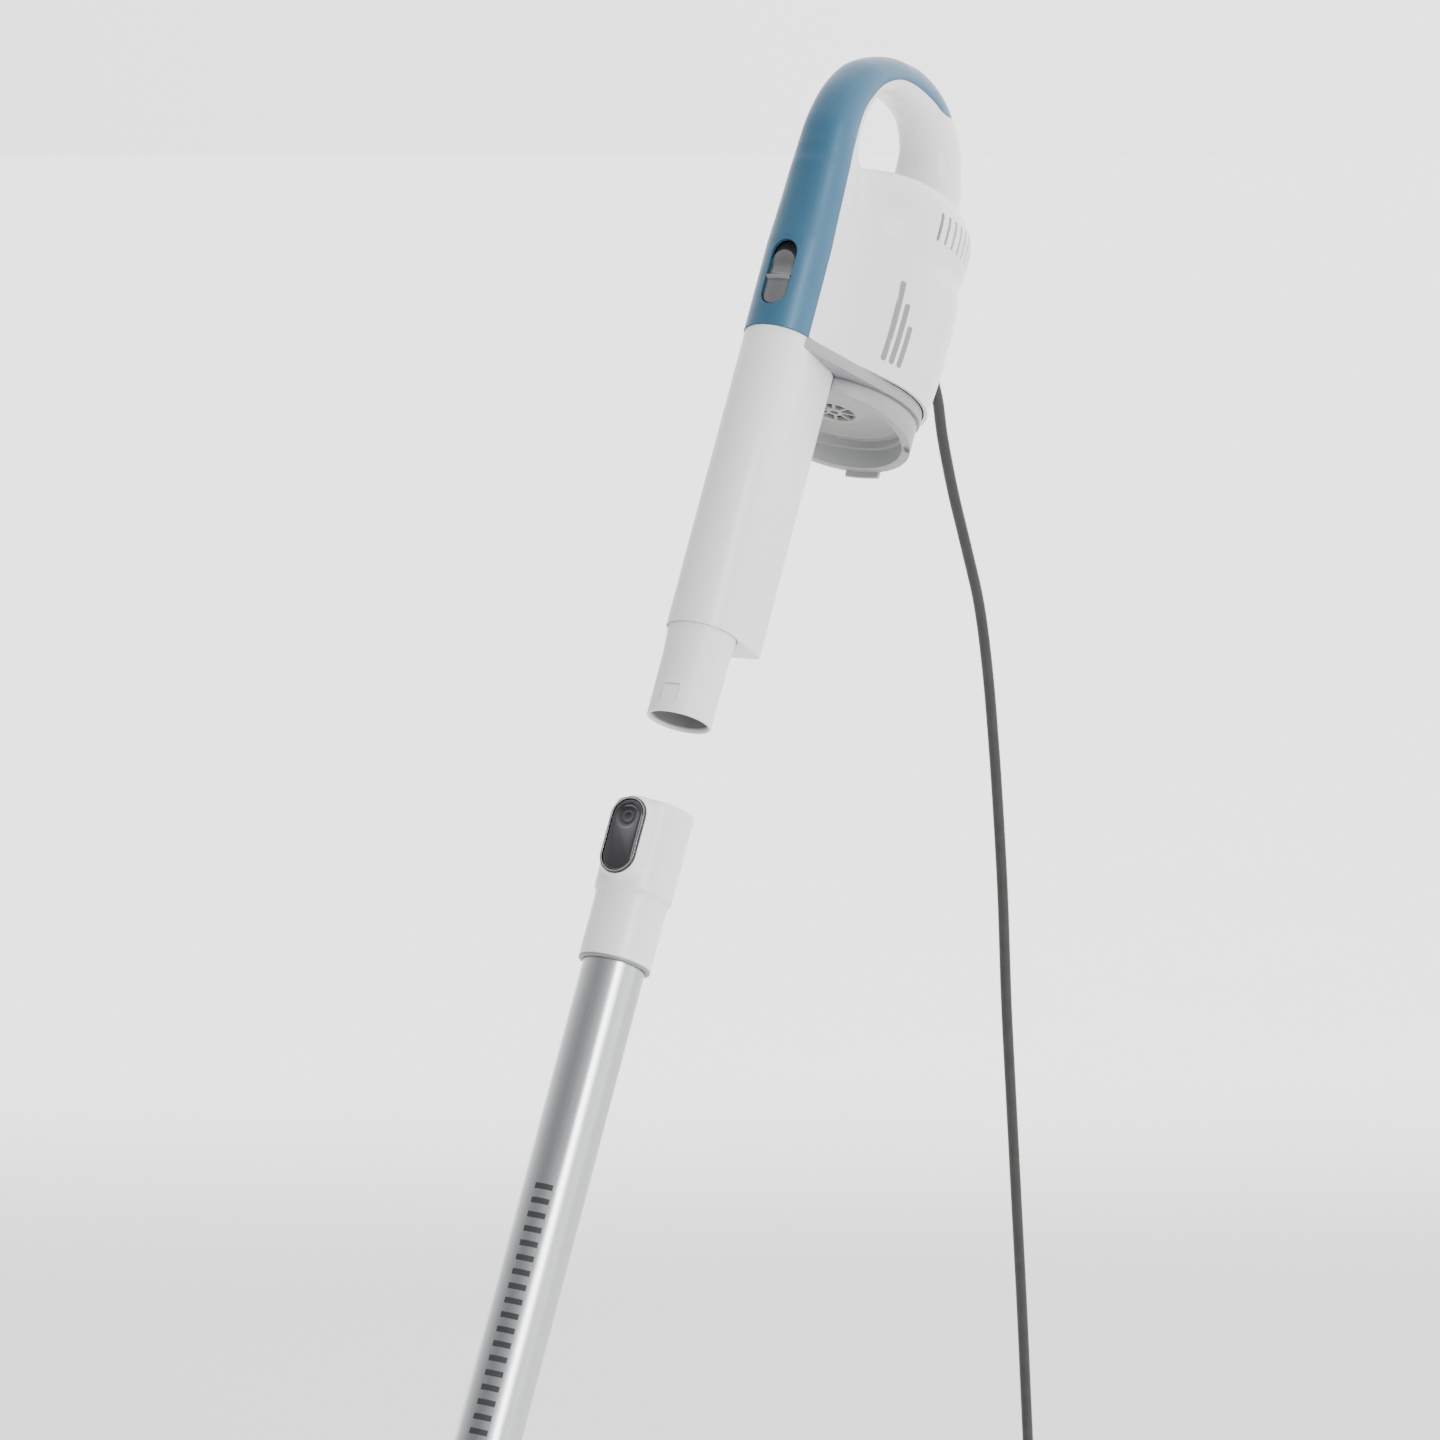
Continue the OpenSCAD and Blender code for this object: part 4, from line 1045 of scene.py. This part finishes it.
def add_head_cover():
    """The head's cover, solid here, open under the neck, with two wheel wells and a groove before each."""
    low = (PIVOT_X - 74, -119, FLOOR + 3)
    high = (PIVOT_X + 42, 119, FLOOR + 38)

    def slab(x, y, z):
        return np.maximum(cover_field(x, y, z), FLOOR + 6.1 - z)

    cover = add_skin("head_cover_skin", slab, low, high, 1.6, leaned=False)
    left, right = PIVOT_X - 25, PIVOT_X + 65
    gap = fillet([(left, -34, 6), (right, -34, 0), (right, 34, 0), (left, 34, 6)], 6)
    cuts = [prism("neck_gap", gap, FLOOR - 5, FLOOR + 60, leaned=False)]
    for s in (-1, 1):
        well = circle(10, (PIVOT_X + WHEEL_BACK, FLOOR + 8), 40)
        cuts.append(prism("well", well, s * WHEEL_SIDE - 8, s * WHEEL_SIDE + 8, "xz", leaned=False))
    left, right = PIVOT_X - 56, PIVOT_X - 54.6
    for s in (-1, 1):
        groove = fillet([(left, s * 14, 1), (left, s * 100, 1), (right, s * 100, 1), (right, s * 14, 1)], 2)
        cuts.append(prism("groove", groove, FLOOR + 20.4, FLOOR + 60, leaned=False))
    boolean(cover, cuts)
    settle(cover, WHITE, "floor_head", "white_shell", "head_cover", angle=35)


def bumper_outline(out):
    """The head's outline seen from above, grown by out."""
    r = 10 + out
    x0, x1, y = PIVOT_X - HEAD_FRONT - out, PIVOT_X + HEAD_REAR + out, HALF_HEAD + out
    return fillet([(x0, -y, r), (x1, -y, r), (x1, y, r), (x0, y, r)], 12)


def add_bumper():
    bumper = prism("front_bumper_skin", bumper_outline(2.45), FLOOR + 6, FLOOR + 12, leaned=False)
    bevelled(bumper, 1.6, 4, 50)
    inside = prism("inside", bumper_outline(0.05), FLOOR, FLOOR + 20, leaned=False)
    rear = box("rear", (PIVOT_X - 20, -140, FLOOR), (PIVOT_X + 90, 140, FLOOR + 30), leaned=False)
    boolean(bumper, [inside, rear])
    settle(bumper, RUBBER, "floor_head", "soft_seal", "front_bumper", angle=40)


def add_bristles():
    """Two strips of tufts, each tuft a bent tapering cone."""
    rng = np.random.default_rng(7)
    points, faces = [], []
    for x0 in (-58, -26):
        for k in range(98):
            y = -97 + 2 * k
            if x0 > -40 and -26 < y < 26:
                continue
            for x in (x0 + 1.1, x0 + 2.9):
                bend_x, bend_y = rng.uniform(-0.5, 0.5), rng.uniform(-0.5, 0.5)
                base = len(points)
                for h, r, lean in ((2, 0.75, 0), (1, 0.68, 0.4), (0.02, 0.5, 1)):
                    px, py, pz = pivot_spot(x + bend_x * lean, y + bend_y * lean, h)
                    points += [(px + r * cos(t), py + r * sin(t), pz)
                               for t in (pi * i / 3 for i in range(6))]
                faces += ring_faces(2, 6, base)
                faces += [tuple(base + i for i in range(5, -1, -1)), tuple(base + 12 + i for i in range(6))]
    tufts = add_mesh("brush_tufts", points, faces, leaned=False)
    tidy(tufts)
    settle(tufts, BRISTLE, "floor_head", "bristle", "brush_strips", angle=60)


def add_wheels():
    """Each wheel: a grooved tyre about a hub with six openings."""
    profile = [(1.6, -6), (7, -6), (7.5, -5.8), (8, -5), (8, -2.6), (7.5, -2.4), (7.5, -1.2), (8, -1), (8, 1),
               (7.5, 1.2), (7.5, 2.4), (8, 2.6), (8, 5), (7.5, 5.8), (7, 6), (6, 6), (5.6, 5.2), (3, 5.2),
               (2.8, 6), (1.6, 6)]
    for side, name in ((-1, "left"), (1, "right")):
        wheel = revolve("wheel_" + name + "_skin", profile, segments=64, leaned=False)
        holes = []
        for k in range(6):
            hole = revolve("hole", [(0, 4.2), (0.9, 4.2), (0.9, 8), (0, 8)], segments=20, leaned=False)
            put(hole, (0, 0, 0), 60 * k, "Z", (4.3, 0, 0), around=Matrix())
            holes.append(hole)
        boolean(wheel, [merged("holes", holes)])
        put(wheel, pivot_spot(WHEEL_BACK, side * WHEEL_SIDE, 8), -90 * side, "X", around=Matrix())
        settle(wheel, RUBBER, name + "_wheel", "soft_seal", "wheel_" + name, angle=35)


add_neck()
add_head_cover()
add_bumper()
add_bristles()
add_wheels()

# ---- the cord's tie and plug ----


def add_plug():
    """A contour plug with grip ribs on its upper face and rings on its tail, and two pins with round tips."""
    x0, y, z = 48, 97, FLOOR + 7

    def plug_field(px, py, pz):
        qx = px - (x0 - 35)
        qy = np.abs(py - y) - 11.5
        wide = 6.5 + 0.45 * np.clip(-qx / 13, -1, 1)
        head = np.hypot(np.maximum(qy, 0), pz - z) - wide
        head = smooth_max(head, np.abs(qx) - 13, 2)
        back = np.clip((px - (x0 - 22)) / 12, 0, 1)
        reach = 11.5 * (1 - back) ** 1.5
        throat = np.hypot(np.maximum(np.abs(py - y) - reach, 0), pz - z) - (6.3 - 0.3 * back)
        throat = smooth_max(throat, np.abs(px - (x0 - 17.5)) - 8, 2)
        tail = np.hypot(py - y, pz - z) - (6.1 - 1.3 * np.clip((px - (x0 - 15)) / 15, 0, 1))
        tail = smooth_max(tail, np.abs(px - (x0 - 8)) - 8, 0.8)
        return smooth_min(smooth_min(head, throat, 3), tail, 3)

    low, high = (x0 - 50, y - 20, z - 9), (x0 + 2, y + 20, z + 9)
    plug = add_skin("plug_body_skin", plug_field, low, high, 0.8, leaned=False)
    cuts = [box("rib", (x, y - 9, z + 4.9), (x + 1.4, y + 9, z + 8.9), leaned=False)
            for x in (x0 - 44 + 3.2 * k for k in range(6))]
    for k in range(4):
        ring = revolve("ring", [(4.2, 0), (8, 0), (8, 1.3), (4.2, 1.3)], segments=32, leaned=False)
        put(ring, (x0 - 11.5 + 2.9 * k, y, z), 90, "Y", around=Matrix())
        cuts.append(ring)
    boolean(plug, cuts)
    settle(plug, JACKET, "hand_unit", "cord_jacket", "plug_body", angle=40)
    pins = []
    for s in (-1, 1):
        profile = [(0, -0.5), (2.4, -0.5), (2.4, 17.4), (2.1, 18.3), (1.4, 18.85), (0, 19)]
        pin = revolve("pin", profile, segments=40, leaned=False)
        put(pin, (x0 - 48, y + s * 9.5, z), -90, "Y", around=Matrix())
        pins.append(pin)
    pins = settle(merged("plug_pins_skin", pins), NICKEL, "hand_unit", "plated_brass", "plug_pins", angle=40)
    return [plug, pins]


def add_tie():
    """A hook-and-loop strap round the coil's bundle of turns."""
    half, high = 14 + 0.7, 2 * (14 + 1.2)
    outside = fillet([(-half, 0, 3), (half, 0, 3), (half, high, 4), (-half, high, 4)], 6)
    inside = fillet([(-half + 1.2, 1.2, 2.2), (half - 1.2, 1.2, 2.2), (half - 1.2, high - 1.2, 3),
                     (-half + 1.2, high - 1.2, 3)], 6)
    strap = prism("cord_tie_skin", outside, -7, 7, "xz", leaned=False)
    boolean(strap, [prism("inside", inside, -9, 9, "xz", leaned=False)])
    bevelled(strap, 0.25, 2, 50)
    put(strap, COIL_CENTRE / MM + Vector((0, 0, FLOOR)), 215, "Z", (COIL_R / MM, 0, 0), around=Matrix())
    return settle(strap, TAPE, "hand_unit", "tie_fabric", "cord_tie", angle=40)


CORD_ENDS = add_plug() + [add_tie(), relief]


# ---- floor, lights and finish ----


def add_stage():
    """A pale floor under the head, with a painted glow that brightens it towards the horizon behind the
    object.
    """
    m, tree, place = new_tree("studio_floor")
    mottle = spread(tree, noise(tree, place, 3, 2), 0, 1)
    distance = vector_step(tree, "DOT_PRODUCT", place, BACKDROP_WAY)["Value"]
    flat = vector_step(tree, "MULTIPLY", place, (1, 1, 0))["Vector"]
    way = vector_step(tree, "NORMALIZE", flat)["Vector"]
    facing = vector_step(tree, "DOT_PRODUCT", way, BACKDROP_WAY)["Value"]
    far = spread(tree, distance, 0, FLOOR_GLOW, 0.9, 1.8, interpolation_type="SMOOTHSTEP")
    ahead = spread(tree, facing, 0, 1, 0.55, 0.92, interpolation_type="SMOOTHSTEP")
    glow = add_node(tree, "Math", {0: far, 1: ahead}, operation="MULTIPLY")["Value"]
    colour = tinted(tree, mottle, (0.93, 0.93, 0.93), (0.95, 0.95, 0.95))
    shade(m, {"Base Color": colour, "Emission Strength": glow},
          {"Roughness": 0.6, "Emission Color": (1, 1, 1, 1)})
    bpy.ops.mesh.primitive_plane_add(size=60, location=(0, 0, FLOOR_Z))
    floor = bpy.context.object
    floor.name = "studio_floor"
    dress(floor, m)


def vector_step(tree, operation, first, second=(0, 0, 0)):
    return add_node(tree, "VectorMath", {0: first}, {1: second}, operation=operation)


def add_key_light():
    """One big soft light, to the right of the camera and above it."""
    light = bpy.data.lights.new("key", "AREA")
    light.shape = "RECTANGLE"
    light.size, light.size_y = 0.9, 1.8
    light.energy = 62
    obj = link_object("key", light)
    obj.location = KEY_PLACE
    obj.rotation_euler = (KEY_PLACE - MIDDLE).to_track_quat("Z", "Y").to_euler()


def add_world():
    """A white room, brightest behind the vacuum and on the camera's right."""
    world = bpy.data.worlds.new("studio")
    world.use_nodes = True
    tree = world.node_tree
    way = add_node(tree, "TexCoord")["Generated"]
    across = vector_step(tree, "DOT_PRODUCT", way, (0.475, -0.155, 0.06))["Value"]
    slope = {1: WORLD_LEVEL, 2: WORLD_LEVEL * 0.5}
    level = add_node(tree, "Math", {0: across}, slope, operation="MULTIPLY_ADD")["Value"]
    most = add_node(tree, "Math", {0: level}, {1: WORLD_LEVEL}, operation="MINIMUM")["Value"]
    connect(tree, tree.nodes["Background"], {"Strength": most}, {"Color": (1, 1, 1, 1)})
    scene.world = world


MIDDLE = Vector((-0.2, 0, -0.4))
KEY_PLACE = Vector((-1.65, -2.35, 0.9))
WORLD_LEVEL = 3.3
FLOOR_GLOW = 1.1
BACKDROP_WAY = (0.855, 0.518, 0)
add_stage()
add_world()
add_key_light()

bpy.context.view_layer.update()
